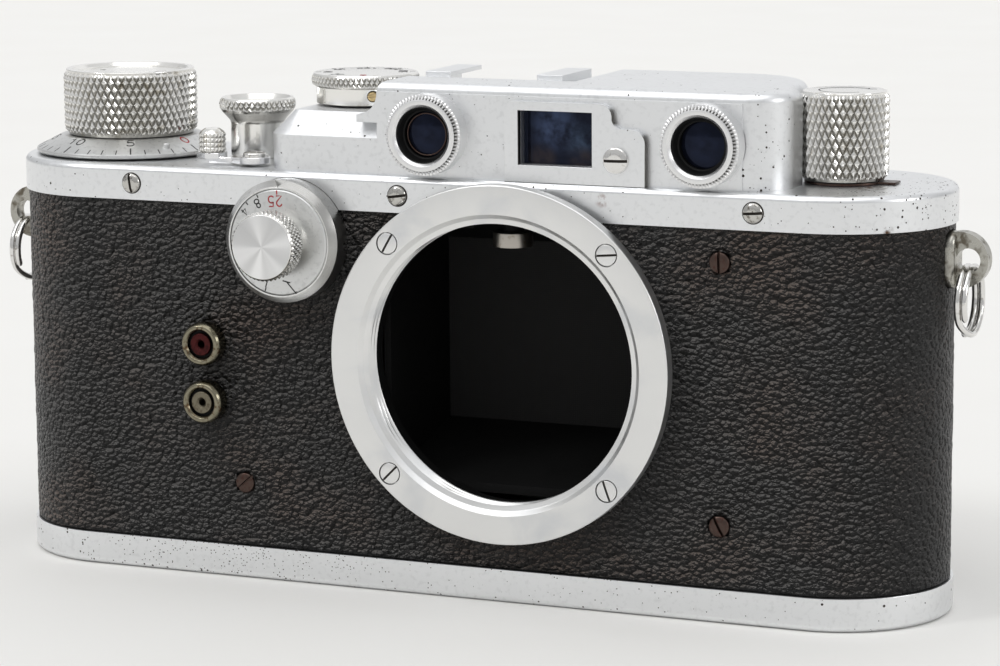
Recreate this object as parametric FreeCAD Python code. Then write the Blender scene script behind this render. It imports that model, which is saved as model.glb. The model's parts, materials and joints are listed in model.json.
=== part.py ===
import FreeCAD, Part
import math
import os

from FreeCAD import Placement, Rotation, Vector

# A 35 mm rangefinder camera body with a 39 mm screw lens mount, shown without a lens.
# Millimetres. +Z is up, the front faces -Y, and +X is the rewind-knob end.
# The origin is on the base plate's bottom face, at the middle of the body.

# ---------------------------------------------------------------- driving dimensions

BODY_WIDTH = 136.0
BODY_DEPTH = 31.0
OUTER_R = BODY_DEPTH / 2
END_X = BODY_WIDTH / 2 - OUTER_R

BASE_TOP = 4.6
SKIRT_LOW = 52.2
DECK = 57.0
LOW_DECK = 65.0
SHOE_SEAT = 66.6
HOUSING_TOP = 69.6

LENS_X = 11.2
LENS_Z = 32.9
MOUNT_FACE = -18.8
FLANGE_DISTANCE = 28.8
FILM_PLANE = MOUNT_FACE + FLANGE_DISTANCE
THREAD_MINOR_R = 18.9
GATE_WIDTH = 36.0
GATE_HEIGHT = 24.0

WIND_X = -53.0
RELEASE_X = -32.8
DRUM_X = -16.0
REWIND_X = 53.0

# ---------------------------------------------------------------- fits and sheet thicknesses

FIT = 0.03
RUNNING_FIT = 0.06
GAP = 0.25
SHEET = 0.8
SHELL_WALL = 1.2
SHELL_R = 14.6
COVERING_R = 15.2
SHELL_LOW = 1.3
SHELL_HIGH = 55.9
SHELL_FRONT = -SHELL_R
COVERING_FRONT = -COVERING_R

BRIDGE_LOW = 50.2
BRIDGE_HIGH = 51.4
FLOOR_LOW = 6.4
FLOOR_HIGH = 7.6

SHAFT_R = 2.0
SHAFT_HOLE_R = SHAFT_R + RUNNING_FIT

# ---------------------------------------------------------------- gear train under the top plate

GEAR_MODULE = 0.6
GEAR_TEETH = 28
IDLER_TEETH = 14
GEAR_LOW = 53.0
GEAR_HIGH = 54.6
PRESSURE_ANGLE = math.radians(20)
BACKLASH = 0.14

# ---------------------------------------------------------------- front fittings

MOUNT_RING_R = 24.1
MOUNT_MOUTH_R = 20.2
MOUNT_FLANGE = 2.0
MOUNT_TUBE_R = 20.2
MOUNT_TUBE_END = -12.6
MOUNT_SCREW_CIRCLE_R = 22.08
COLLAR_R = 22.3

SLOW_X = -20.25
SLOW_Z = 47.95
SLOW_RING_R = 8.35
SLOW_DISC_R = 7.2
SLOW_FACE = -19.4

SYNC_X = -33.6
SYNC_HEIGHTS = (32.8, 24.7)
SYNC_RING_R = 3.0

BODY_SCREWS = ((41.1, 47.8), (41.2, 13.0), (-28.05, 13.5))
BODY_SCREW_R = 1.42
SKIRT_SCREWS_X = (-44.6, -4.3, 45.7)
SKIRT_SCREW_Z = 54.5

# ---------------------------------------------------------------- finder housing

HOUSING_FRONT = -13.8
PAD_RISE = 0.25
PAD_RIGHT = 43.6
PAD_HIGH = 68.25
HOUSING_BACK = 13.8
HOUSING_WALL = 1.2
WINDOW_Z = 62.85
RANGE_WINDOWS_X = (-0.2, 38.6)
RANGE_HOLE_R = 3.77
BEZEL_R = 5.42
VIEW_LOW = (12.9, 59.3)
VIEW_HIGH = (23.3, 66.5)
EYEPIECES_X = (22.0, 31.0)
EYEPIECE_Z = 62.5
EYEPIECE_HOLE_R = 2.6
VIEW_SCREW = (26.7, 60.4)
TALL_LEFT = -8.0
TALL_STEP_X = 16.2
STRIP_BACK = -4.5
LOW_LEFT = -25.0
LOW_BACK = 10.0
REWIND_SCALLOP_R = 6.5
DIAL_SCALLOP_R = 7.9

SHOE_X = 4.95
SHOE_HALF = 10.0
SHOE_SLOT_HALF = 9.3
SHOE_LIP_HALF = 6.3
SHOE_FRONT = -4.2
SHOE_BACK = 6.6
SHOE_PLATE = 0.9
SHOE_SLOT = 2.1
SHOE_LIP = 0.6

# ---------------------------------------------------------------- base and strap fittings

KEY_X = 49.0
KEY_R = 7.9
TRIPOD_X = -49.0
TRIPOD_R = 2.55
TRIPOD_BOSS_R = 7.0
TRIPOD_HIGH = 6.2

LUG_Z = 47.6
LUG_FACE = 68.6
LUG_EYE_X = 70.15
LUG_HOLE_R = 1.6
LUG_HALF_THICK = 1.0
RING_WIRE_R = 0.45
RING_MEAN_R = 4.4
RING_DROP = 0.95

# ---------------------------------------------------------------- range arm

ARM_X = 26.0
ARM_Y = -7.0
ROLLER_X = 9.9
ROLLER_Y = -9.5
ROLLER_Z = 48.7
ROLLER_R = 2.7
ROLLER_HEIGHT = 2.1
ARM_LOW = 51.8
ARM_HIGH = 52.8

PRISM_Y = -8.8

# ---------------------------------------------------------------- shutter and film path

DRUM_R = 7.6
CURTAIN_Y = DRUM_R + 0.15
SPRING_ROLLER_R = 3.0
ROLLERS_X = 34.6
ROLLERS_Y = (4.55, -3.6)
RAIL_RISE = 14.2

# ---------------------------------------------------------------- small controls

LEVER_PIVOT = (-28.3, -10.0)
LEVER_KNOB_X = -34.8
SPEED_SCREW_DEGREES = -57
RELEASE_BORE_R = 2.28
RELEASE_STEM_R = 1.14

UP = Vector(0, 0, 1)
BACKWARD = Vector(0, 1, 0)


# ---------------------------------------------------------------- shape helpers

def block(x_span, y_span, z_span):
    """Box given by its low and high x, y and z."""
    size = [span[1] - span[0] for span in (x_span, y_span, z_span)]
    return Part.makeBox(*size, Vector(x_span[0], y_span[0], z_span[0]))


def post(radius, low, high, x, y=0.0):
    """Upright cylinder between two heights."""
    return Part.makeCylinder(radius, high - low, Vector(x, y, low), UP)


def peg(radius, front, back, x, z):
    """Cylinder lying along Y between two depths."""
    return Part.makeCylinder(radius, back - front, Vector(x, front, z), BACKWARD)


def polar(x, y, radius, degrees):
    """Point on a circle."""
    angle = math.radians(degrees)
    return x + radius * math.cos(angle), y + radius * math.sin(angle)


def outline(start, moves, z):
    """Closed wire at height z. A move is (x, y) for a line, or (mid x, mid y, x, y) for an arc."""
    edges = []
    here = Vector(*start, z)
    for move in moves:
        there = Vector(*move[-2:], z)
        if len(move) == 4:
            edges.append(Part.Arc(here, Vector(*move[:2], z), there).toShape())
        else:
            edges.append(Part.LineSegment(here, there).toShape())
        here = there
    return Part.Wire(edges)


def prism(wire, height):
    """Solid over a flat closed wire."""
    return Part.Face(wire).extrude(Vector(0, 0, height))


def capsule(radius, low, high):
    """The body's plan: two half circles joined by straight sides."""
    moves = [
        (END_X, -radius),
        (END_X + radius, 0, END_X, radius),
        (-END_X, radius),
        (-END_X - radius, 0, -END_X, -radius),
    ]
    return prism(outline((-END_X, -radius), moves, low), high - low)


def turned(profile, x, y=0.0):
    """Solid turned about an upright axis. The profile lists (radius, z)."""
    points = [Vector(x + radius, y, z) for radius, z in profile]
    face = Part.Face(Part.makePolygon(points + points[:1]))
    return face.revolve(Vector(x, y, 0), UP, 360)


def turned_front(profile, x, z):
    """Solid turned about an axis along Y. The profile lists (radius, y)."""
    points = [Vector(x + radius, y, z) for radius, y in profile]
    face = Part.Face(Part.makePolygon(points + points[:1]))
    return face.revolve(Vector(x, 0, z), BACKWARD, 360)


def tube(outer, inner, low, high, x, y=0.0):
    """Upright tube."""
    return post(outer, low, high, x, y).cut(post(inner, low - 1, high + 1, x, y))


def front_tube(outer, inner, front, back, x, z):
    """Tube lying along Y."""
    return peg(outer, front, back, x, z).cut(peg(inner, front - 1, back + 1, x, z))


def joined(shapes):
    """One solid from several that touch."""
    return shapes[0].multiFuse(shapes[1:]).removeSplitter()


def drilled(shape, tools):
    """The shape with every tool cut out of it."""
    return shape.cut(Part.makeCompound(tools))


def edges_at(shape, z):
    """The edges that lie flat at height z."""
    return [
        edge for edge in shape.Edges
        if abs(edge.BoundBox.ZMin - z) < 0.01 and abs(edge.BoundBox.ZMax - z) < 0.01
    ]


def front_screw(x, z, head_r, seat, head, shank, slot_degrees):
    """Slotted screw whose head stands in front of the seat at y = seat."""
    face = seat - head
    profile = [
        (0, face), (head_r * 0.8, face + head * 0.12), (head_r, face + head * 0.45),
        (head_r, seat), (0, seat),
    ]
    screw = turned_front(profile, x, z).fuse(peg(head_r * 0.45, seat, seat + shank, x, z))
    slot = block((-head_r * 1.2, head_r * 1.2), (face - 1, face + head * 0.55), (-0.22, 0.22))
    slot.rotate(Vector(0, 0, 0), Vector(0, -1, 0), slot_degrees)
    slot.translate(Vector(x, 0, z))
    return screw.cut(slot)


def involute_outline(teeth, centre, z, turn_degrees):
    """Closed wire of a spur gear's teeth about a centre."""
    pitch_r = GEAR_MODULE * teeth / 2
    base_r = pitch_r * math.cos(PRESSURE_ANGLE)
    root_r = pitch_r - 1.25 * GEAR_MODULE
    tip_r = pitch_r + 0.9 * GEAR_MODULE
    half_tooth = math.pi / (2 * teeth) - BACKLASH / (2 * pitch_r)
    pitch_lean = math.tan(PRESSURE_ANGLE) - PRESSURE_ANGLE
    flank = []
    for step in range(4):
        radius = max(base_r, root_r) + (tip_r - max(base_r, root_r)) * step / 3
        pressure = math.acos(min(1.0, base_r / radius))
        flank.append((radius, half_tooth + pitch_lean - (math.tan(pressure) - pressure)))
    foot = (root_r, flank[0][1])
    right_side = [(radius, -angle) for radius, angle in [foot] + flank]
    left_side = [(radius, angle) for radius, angle in reversed([foot] + flank)]
    points = []
    for tooth in range(teeth):
        middle = 2 * math.pi * tooth / teeth + math.radians(turn_degrees)
        for radius, angle in right_side + left_side:
            x, y = polar(*centre, radius, math.degrees(middle + angle))
            points.append(Vector(x, y, z))
    return Part.makePolygon(points + points[:1])


def gear(teeth, x, y, turn_degrees, bore_r):
    """Spur gear of the train, one tooth pointing along turn_degrees."""
    blank = prism(involute_outline(teeth, (x, y), GEAR_LOW, turn_degrees), GEAR_HIGH - GEAR_LOW)
    return blank.cut(post(bore_r, GEAR_LOW - 1, GEAR_HIGH + 1, x, y))


# ---------------------------------------------------------------- body

def make_body_shell():
    inside = capsule(SHELL_R - SHELL_WALL, SHELL_LOW - 1, SHELL_HIGH + 1)
    shell = capsule(SHELL_R, SHELL_LOW, SHELL_HIGH).cut(inside)
    wall = (SHELL_FRONT - 1, SHELL_FRONT + SHELL_WALL + 1)
    holes = [peg(MOUNT_TUBE_R + 0.2, *wall, LENS_X, LENS_Z), peg(1.6, *wall, SLOW_X, SLOW_Z)]
    holes += [peg(1.65, *wall, SYNC_X, z) for z in SYNC_HEIGHTS]
    holes += [peg(0.8, *wall, x, z) for x, z in BODY_SCREWS]
    return drilled(shell, holes)


def make_body_covering():
    low = BASE_TOP + 0.1
    high = SKIRT_LOW - 0.1
    sheet = capsule(COVERING_R, low, high).cut(capsule(SHELL_R + FIT, low - 1, high + 1))
    wall = (COVERING_FRONT - 1, SHELL_FRONT + 1)
    holes = [peg(COLLAR_R + 0.2, *wall, LENS_X, LENS_Z), peg(SLOW_RING_R - 0.4, *wall, SLOW_X, SLOW_Z)]
    holes += [peg(SYNC_RING_R - 0.3, *wall, SYNC_X, z) for z in SYNC_HEIGHTS]
    holes += [peg(BODY_SCREW_R + 0.15, *wall, x, z) for x, z in BODY_SCREWS]
    for side in (-1, 1):
        span = sorted((side * (END_X + SHELL_R - 1), side * (END_X + COVERING_R + 1)))
        holes.append(block(span, (-2.4, 2.4), (LUG_Z - 3.9, LUG_Z + 3.9)))
    return drilled(sheet, holes)


def make_body_screws():
    screws = [
        front_screw(x, z, BODY_SCREW_R, SHELL_FRONT, 1.0, 2.0, slot)
        for (x, z), slot in zip(BODY_SCREWS, (20, 75, 60))
    ]
    return Part.makeCompound(screws)


def make_strap_lug(side):
    foot = block((END_X + SHELL_R + FIT, LUG_FACE), (-2.3, 2.3), (LUG_Z - 3.7, LUG_Z + 3.7))
    foot = foot.makeFillet(2.0, [edge for edge in foot.Edges if edge.BoundBox.XLength > 1])
    foot = foot.makeFillet(0.7, [edge for edge in foot.Edges if edge.BoundBox.XMin > LUG_FACE - 0.01])
    eye = peg(3.7, -LUG_HALF_THICK, LUG_HALF_THICK, 69.1, LUG_Z)
    eye = eye.common(block((68.0, 80), (-2, 2), (40, 55)))
    lug = joined([foot, eye]).cut(peg(LUG_HOLE_R, -2, 2, LUG_EYE_X, LUG_Z))
    return lug if side > 0 else lug.mirror(Vector(0, 0, 0), Vector(1, 0, 0))


def make_strap_ring(side):
    """Split ring of two touching turns, hanging from the bottom of the lug's eye."""
    x = side * LUG_EYE_X
    centre = Vector(x, 0, LUG_Z - RING_DROP - RING_MEAN_R)
    half_width = 2 * RING_WIRE_R
    top = centre.z + RING_MEAN_R
    corners = [
        Vector(x - half_width, 0, top - RING_WIRE_R * 0.6),
        Vector(x - half_width * 0.5, 0, top - RING_WIRE_R),
        Vector(x + half_width * 0.5, 0, top - RING_WIRE_R),
        Vector(x + half_width, 0, top - RING_WIRE_R * 0.6),
        Vector(x + half_width, 0, top + RING_WIRE_R * 0.6),
        Vector(x + half_width * 0.5, 0, top + RING_WIRE_R),
        Vector(x - half_width * 0.5, 0, top + RING_WIRE_R),
        Vector(x - half_width, 0, top + RING_WIRE_R * 0.6),
    ]
    section = Part.Face(Part.makePolygon(corners + corners[:1]))
    return section.revolve(centre, Vector(1, 0, 0), 360)


# ---------------------------------------------------------------- lens mount

def make_mount_collar():
    return front_tube(COLLAR_R, MOUNT_TUBE_R + FIT, MOUNT_FACE + MOUNT_FLANGE, SHELL_FRONT, LENS_X, LENS_Z)


def mount_screw_places():
    return [polar(LENS_X, LENS_Z, MOUNT_SCREW_CIRCLE_R, angle) for angle in (45, 135, 225, 315)]


def make_mount_ring():
    profile = [
        (MOUNT_MOUTH_R, MOUNT_FACE),
        (MOUNT_RING_R - 0.2, MOUNT_FACE),
        (MOUNT_RING_R, MOUNT_FACE + 0.2),
        (MOUNT_RING_R, MOUNT_FACE + MOUNT_FLANGE),
        (MOUNT_TUBE_R, MOUNT_FACE + MOUNT_FLANGE),
        (MOUNT_TUBE_R, MOUNT_TUBE_END),
        (THREAD_MINOR_R, MOUNT_TUBE_END),
        (THREAD_MINOR_R, MOUNT_FACE + 0.8),
        (MOUNT_MOUTH_R - 0.6, MOUNT_FACE + 0.6),
    ]
    ring = turned_front(profile, LENS_X, LENS_Z)
    holes = []
    for x, z in mount_screw_places():
        holes.append(peg(1.5, MOUNT_FACE - 1, MOUNT_FACE + 0.9, x, z))
        holes.append(peg(0.75, MOUNT_FACE, MOUNT_FACE + 3, x, z))
    return drilled(ring, holes)


def make_mount_screws():
    seat = MOUNT_FACE + 0.9
    screws = [
        front_screw(x, z, 1.45, seat, 0.95, 1.0, slot)
        for (x, z), slot in zip(mount_screw_places(), (5, 60, 45, -70))
    ]
    return Part.makeCompound(screws)


# ---------------------------------------------------------------- sync sockets and slow-speed dial

def make_sync_rings():
    profile = [
        (1.95, COVERING_FRONT - 2.3), (2.6, COVERING_FRONT - 2.3), (SYNC_RING_R, COVERING_FRONT - 1.9),
        (SYNC_RING_R, COVERING_FRONT), (2.6, COVERING_FRONT), (2.6, SHELL_FRONT), (1.95, SHELL_FRONT),
    ]
    return Part.makeCompound([turned_front(profile, SYNC_X, z) for z in SYNC_HEIGHTS])


def make_sync_contacts():
    """Contact tubes, each in its insulating sleeve."""
    back = SHELL_FRONT + SHELL_WALL + 0.8
    pieces = []
    for z in SYNC_HEIGHTS:
        pieces.append(front_tube(1.55, 0.5, COVERING_FRONT - 2.0, back, SYNC_X, z))
        pieces.append(front_tube(1.9, 1.6, COVERING_FRONT - 1.6, SHELL_FRONT, SYNC_X, z))
    return Part.makeCompound(pieces)


def make_slow_dial_ring():
    """Fixed bevelled ring with the index notch at its top."""
    bore = SLOW_DISC_R + 0.12
    profile = [
        (bore, -19.3), (bore + 0.15, -19.3), (SLOW_RING_R, -18.35),
        (SLOW_RING_R, COVERING_FRONT - 0.05), (SLOW_RING_R - 0.6, COVERING_FRONT - 0.05),
        (SLOW_RING_R - 0.6, SHELL_FRONT), (2.0, SHELL_FRONT), (2.0, -15.4), (bore, -15.4),
    ]
    ring = turned_front(profile, SLOW_X, SLOW_Z)
    notch = block((-0.55, 0.55), (-19.9, -18.5), (-0.55, 0.55))
    notch.rotate(Vector(0, 0, 0), BACKWARD, 45)
    notch.translate(Vector(SLOW_X, 0, SLOW_Z + SLOW_RING_R))
    return ring.cut(notch)


def make_slow_dial():
    profile = [
        (1.53, SLOW_FACE), (SLOW_DISC_R - 0.2, SLOW_FACE), (SLOW_DISC_R, SLOW_FACE + 0.2),
        (SLOW_DISC_R, -15.7), (1.53, -15.7),
    ]
    return turned_front(profile, SLOW_X, SLOW_Z)


def make_slow_knob():
    profile = [
        (0, -24.4), (4.5, -24.4), (4.75, -24.15), (4.75, -21.2), (4.5, -20.95), (3.7, -20.8),
        (3.7, SLOW_FACE - FIT), (1.5, SLOW_FACE - FIT), (1.5, -9.6), (0, -9.6),
    ]
    return turned_front(profile, SLOW_X, SLOW_Z)


# ---------------------------------------------------------------- top plate and finder housing

def make_top_plate():
    plate = capsule(OUTER_R, SKIRT_LOW, DECK)
    plate = plate.makeFillet(0.9, edges_at(plate, DECK))
    plate = plate.cut(capsule(OUTER_R - SHEET, SKIRT_LOW - 1, DECK - 1.0))
    drop = (DECK - 2, DECK + 1)
    holes = [post(SHAFT_R + GAP, *drop, x) for x in (WIND_X, DRUM_X, REWIND_X)]
    holes.append(post(RELEASE_BORE_R, *drop, RELEASE_X))
    holes.append(post(1.7, *drop, ARM_X, ARM_Y))
    holes.append(post(0.8, *drop, LEVER_PIVOT[0], LEVER_PIVOT[1]))
    holes.append(peg(COLLAR_R + 0.05, -OUTER_R - 1, SHELL_FRONT, LENS_X, LENS_Z))
    holes.append(peg(SLOW_RING_R + 0.05, -OUTER_R - 1, SHELL_FRONT, SLOW_X, SLOW_Z))
    for x in SKIRT_SCREWS_X:
        holes.append(peg(0.65, -OUTER_R - 1, -OUTER_R + 2, x, SKIRT_SCREW_Z))
        holes.append(peg(0.65, OUTER_R - 2, OUTER_R + 1, x, SKIRT_SCREW_Z))
    return drilled(plate, holes)


def make_skirt_screws():
    front = [
        front_screw(x, SKIRT_SCREW_Z, 1.4, -OUTER_R, 0.6, 0.7, slot)
        for x, slot in zip(SKIRT_SCREWS_X, (80, 10, 5))
    ]
    rear = [screw.mirror(Vector(0, 0, 0), BACKWARD) for screw in front]
    return Part.makeCompound(front + rear)


def tall_plan(z):
    """Plan of the housing's high part, scalloped round the rewind knob."""
    corner_r = 5.2
    right = 48.9
    front = HOUSING_FRONT + PAD_RISE
    corner = (right - corner_r, front + corner_r)
    scallop_y = math.sqrt(REWIND_SCALLOP_R ** 2 - (REWIND_X - right) ** 2)
    back_r = 12.0
    shoulder = (46.8, HOUSING_BACK - back_r)
    moves = [
        (corner[0], front),
        (*polar(*corner, corner_r, -45), right, corner[1]),
        (right, -scallop_y),
        (*polar(REWIND_X, 0, REWIND_SCALLOP_R, 190), *polar(REWIND_X, 0, REWIND_SCALLOP_R, 164)),
        (*polar(shoulder[0] - back_r, shoulder[1], back_r, 45), shoulder[0] - back_r, HOUSING_BACK),
        (TALL_STEP_X, HOUSING_BACK),
        (TALL_STEP_X, STRIP_BACK),
        (TALL_LEFT, STRIP_BACK),
        (TALL_LEFT, front),
    ]
    return outline((TALL_LEFT, front), moves, z)


def make_low_deck():
    """Low left part of the housing, with a sloped front and left edge."""
    corner_r = 4.0
    front_corner = (LOW_LEFT + corner_r, HOUSING_FRONT + corner_r)
    back_corner = (LOW_LEFT + corner_r, LOW_BACK - corner_r)
    moves = [
        (TALL_LEFT, HOUSING_FRONT),
        (TALL_LEFT, LOW_BACK),
        (back_corner[0], LOW_BACK),
        (*polar(*back_corner, corner_r, 135), LOW_LEFT, back_corner[1]),
        (LOW_LEFT, front_corner[1]),
        (*polar(*front_corner, corner_r, 225), front_corner[0], HOUSING_FRONT),
    ]
    deck = prism(outline((front_corner[0], HOUSING_FRONT), moves, DECK), LOW_DECK - DECK)
    sloped = [edge for edge in edges_at(deck, LOW_DECK) if edge.BoundBox.XMin < TALL_LEFT - 1]
    return deck.makeChamfer(3.1, sloped)


def make_finder_housing():
    tall = prism(tall_plan(DECK), HOUSING_TOP - DECK)
    tall = tall.makeFillet(1.3, edges_at(tall, HOUSING_TOP))
    pad = block((TALL_LEFT, PAD_RIGHT), (HOUSING_FRONT, HOUSING_FRONT + 1), (DECK, PAD_HIGH))
    seat = block((TALL_LEFT, TALL_STEP_X + 1), (STRIP_BACK - 1, HOUSING_BACK), (DECK, SHOE_SEAT))
    housing = joined([make_low_deck(), tall, pad, seat, make_deck_fillet()])
    return drilled(housing, housing_hollows() + housing_holes())


def make_deck_fillet():
    """Hollow curve between the low deck and the high part's left wall."""
    radius = 3.0
    depth = (HOUSING_FRONT, STRIP_BACK)
    fill = block((TALL_LEFT - radius, TALL_LEFT + 1), depth, (LOW_DECK - 1, LOW_DECK + radius))
    return fill.cut(peg(radius, HOUSING_FRONT - 1, STRIP_BACK + 1, TALL_LEFT - radius, LOW_DECK + radius))


def housing_hollows():
    """The open inside of the housing, under its walls and roofs."""
    low = DECK - 1
    left = TALL_LEFT + HOUSING_WALL
    front = HOUSING_FRONT + HOUSING_WALL
    back = HOUSING_BACK - HOUSING_WALL
    tall = (low, HOUSING_TOP - 1.3)
    return [
        block((LOW_LEFT + 1.8, TALL_LEFT - 0.6), (front + 0.6, LOW_BACK - HOUSING_WALL), (low, 61.0)),
        block((left, 44.6), (front, STRIP_BACK - HOUSING_WALL), tall),
        block((TALL_STEP_X + HOUSING_WALL, 40.0), (front, back), tall),
        block((left, TALL_STEP_X), (STRIP_BACK, back), (low, SHOE_SEAT - 1.3)),
    ]


def housing_holes():
    wall = (HOUSING_FRONT - 1, HOUSING_FRONT + HOUSING_WALL + 1)
    back = (HOUSING_BACK - HOUSING_WALL - 1, HOUSING_BACK + 1)
    holes = [peg(RANGE_HOLE_R - 0.3, *wall, x, WINDOW_Z) for x in RANGE_WINDOWS_X]
    holes.append(block((VIEW_LOW[0], VIEW_HIGH[0]), wall, (VIEW_LOW[1], VIEW_HIGH[1])))
    holes += [peg(EYEPIECE_HOLE_R, *back, x, EYEPIECE_Z) for x in EYEPIECES_X]
    holes.append(post(DIAL_SCALLOP_R, LOW_DECK, HOUSING_TOP + 1, DRUM_X))
    holes.append(post(SHAFT_R + GAP, DECK, HOUSING_TOP, DRUM_X))
    holes.append(peg(0.9, *wall, *VIEW_SCREW))
    return holes


def make_view_cover():
    """Stepped plate that frames the viewfinder's front window."""
    step = HOUSING_FRONT - 1.0
    moves = [
        (30.7, 56.9 + 0.1),
        (30.7, 62.6),
        (30.15, 63.95, 28.8, 64.5),
        (27.3, 64.5),
        (26.5, 64.9, 26.1, 65.7),
        (26.1, 66.0),
        (25.6, 67.2, 24.4, 67.7),
        (12.4, 67.7),
        (11.3, 67.3, 10.9, 66.2),
        (10.9, 57.0),
    ]
    wire = outline((10.9, 57.0), moves, 0)
    plate = prism(wire, 1.0)
    plate.rotate(Vector(0, 0, 0), Vector(1, 0, 0), 90)
    plate.translate(Vector(0, HOUSING_FRONT, 0))
    window = block((VIEW_LOW[0], VIEW_HIGH[0]), (step - 1, step + 2), (VIEW_LOW[1], VIEW_HIGH[1]))
    return drilled(plate, [window, peg(0.9, step - 1, step + 2, *VIEW_SCREW)])


def make_view_screw():
    return front_screw(*VIEW_SCREW, 1.75, HOUSING_FRONT - 1.0, 0.7, 2.0, 70)


def make_finder_glasses():
    """Glass of the viewfinder window, the two range windows and the two eyepieces."""
    low = (VIEW_LOW[0] - 0.8, VIEW_LOW[1] - 0.8)
    high = (VIEW_HIGH[0] + 0.8, VIEW_HIGH[1] + 0.8)
    inside = HOUSING_FRONT + HOUSING_WALL
    pieces = [block((low[0], high[0]), (inside, inside + 1.2), (low[1], high[1]))]
    for x in RANGE_WINDOWS_X:
        pieces.append(peg(RANGE_HOLE_R - FIT, HOUSING_FRONT - 0.8, HOUSING_FRONT, x, WINDOW_Z))
    for x in EYEPIECES_X:
        pieces.append(peg(EYEPIECE_HOLE_R - FIT, HOUSING_BACK - 1.0, HOUSING_BACK + 0.3, x, EYEPIECE_Z))
    return Part.makeCompound(pieces)


def make_range_bezels():
    profile = [
        (RANGE_HOLE_R, -16.55), (RANGE_HOLE_R + 0.3, -16.85), (BEZEL_R - 0.6, -16.85), (BEZEL_R, -16.15),
        (BEZEL_R, HOUSING_FRONT), (RANGE_HOLE_R, HOUSING_FRONT),
    ]
    return Part.makeCompound([turned_front(profile, x, WINDOW_Z) for x in RANGE_WINDOWS_X])


def make_eyepieces():
    back = HOUSING_BACK
    profile = [
        (EYEPIECE_HOLE_R, back), (4.0, back), (4.0, back + 1.0), (3.6, back + 1.4), (3.0, back + 1.4),
        (EYEPIECE_HOLE_R, back + 1.0),
    ]
    return Part.makeCompound([turned_front(profile, x, EYEPIECE_Z) for x in EYEPIECES_X])


def make_accessory_shoe():
    low = SHOE_SEAT
    floor = low + SHOE_PLATE
    high = floor + SHOE_SLOT + SHOE_LIP
    span = (SHOE_X - SHOE_HALF, SHOE_X + SHOE_HALF)
    shoe = block(span, (SHOE_FRONT, SHOE_BACK), (low, high))
    slot_span = (SHOE_X - SHOE_SLOT_HALF, SHOE_X + SHOE_SLOT_HALF)
    mouth_span = (SHOE_X - SHOE_LIP_HALF, SHOE_X + SHOE_LIP_HALF)
    slot = block(slot_span, (SHOE_FRONT + 0.8, SHOE_BACK + 1), (floor, high - SHOE_LIP))
    mouth = block(mouth_span, (SHOE_FRONT - 1, SHOE_BACK + 1), (floor, high + 1))
    holes = [post(1.3, floor - 0.45, floor + 1, x, y) for x, y in shoe_screw_places()]
    return drilled(shoe, [slot, mouth] + holes)


def shoe_screw_places():
    return [(SHOE_X + dx, y) for dx in (-4.5, 4.5) for y in (-1.0, 4.0)]


def make_shoe_screws():
    """Countersunk slotted screws, sunk level with the shoe's floor."""
    floor = SHOE_SEAT + SHOE_PLATE
    screws = []
    for x, y in shoe_screw_places():
        head = post(1.3 - FIT, floor - 0.45, floor - 0.05, x, y)
        slot = block((x - 2, x + 2), (y - 0.15, y + 0.15), (floor - 0.25, floor + 1))
        screws.append(head.cut(slot))
    return Part.makeCompound(screws)


# ---------------------------------------------------------------- range arm and its optics

def make_range_arm():
    """Lever on an upright pivot. Its pin carries the roller that the lens pushes back."""
    reach = math.hypot(ROLLER_X - ARM_X, ROLLER_Y - ARM_Y)
    lean = math.degrees(math.atan2(ROLLER_Y - ARM_Y, ROLLER_X - ARM_X))
    bar = block((0, reach), (-1.3, 1.3), (ARM_LOW, ARM_HIGH))
    bar.rotate(Vector(0, 0, 0), UP, lean)
    bar.translate(Vector(ARM_X, ARM_Y, 0))
    pieces = [
        bar,
        post(2.4, ARM_LOW, ARM_HIGH, ARM_X, ARM_Y),
        post(1.7, ARM_LOW, ARM_HIGH, ROLLER_X, ROLLER_Y),
        post(1.4, ARM_LOW, 61.0, ARM_X, ARM_Y),
        post(0.9, BRIDGE_LOW, ARM_LOW + 0.2, ARM_X, ARM_Y),
        post(1.5, ROLLER_Z + ROLLER_HEIGHT / 2, ARM_LOW + 0.2, ROLLER_X, ROLLER_Y),
        post(0.8, ROLLER_Z - ROLLER_HEIGHT / 2 - 0.3, ARM_LOW, ROLLER_X, ROLLER_Y),
    ]
    return joined(pieces)


def make_range_roller():
    half = ROLLER_HEIGHT / 2
    return tube(ROLLER_R, 0.83, ROLLER_Z - half, ROLLER_Z + half - 0.05, ROLLER_X, ROLLER_Y)


def make_range_prism():
    """Prism on its turntable, behind the right-hand range window."""
    x = RANGE_WINDOWS_X[1]
    table = post(2.9, 58.2, 58.9, x, PRISM_Y).fuse(post(1.2, DECK + 0.1, 58.3, x, PRISM_Y))
    glass = block((x - 2.1, x + 2.1), (PRISM_Y - 2.1, PRISM_Y + 2.1), (58.8, 66.5))
    return joined([table, glass])


def make_range_mirror():
    """Half-silvered plate, set at 45 degrees behind the left-hand range window."""
    plate = block((-3.4, 3.4), (-0.4, 0.4), (DECK + 0.05, 66.5))
    plate.rotate(Vector(0, 0, 0), UP, 45)
    plate.translate(Vector(RANGE_WINDOWS_X[0], -9.3, 0))
    return plate


# ---------------------------------------------------------------- shutter crate and film path

def shaft_places():
    return [(WIND_X, 0.0), (RELEASE_X, 0.0), (DRUM_X, 0.0), (REWIND_X, 0.0)]


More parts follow.
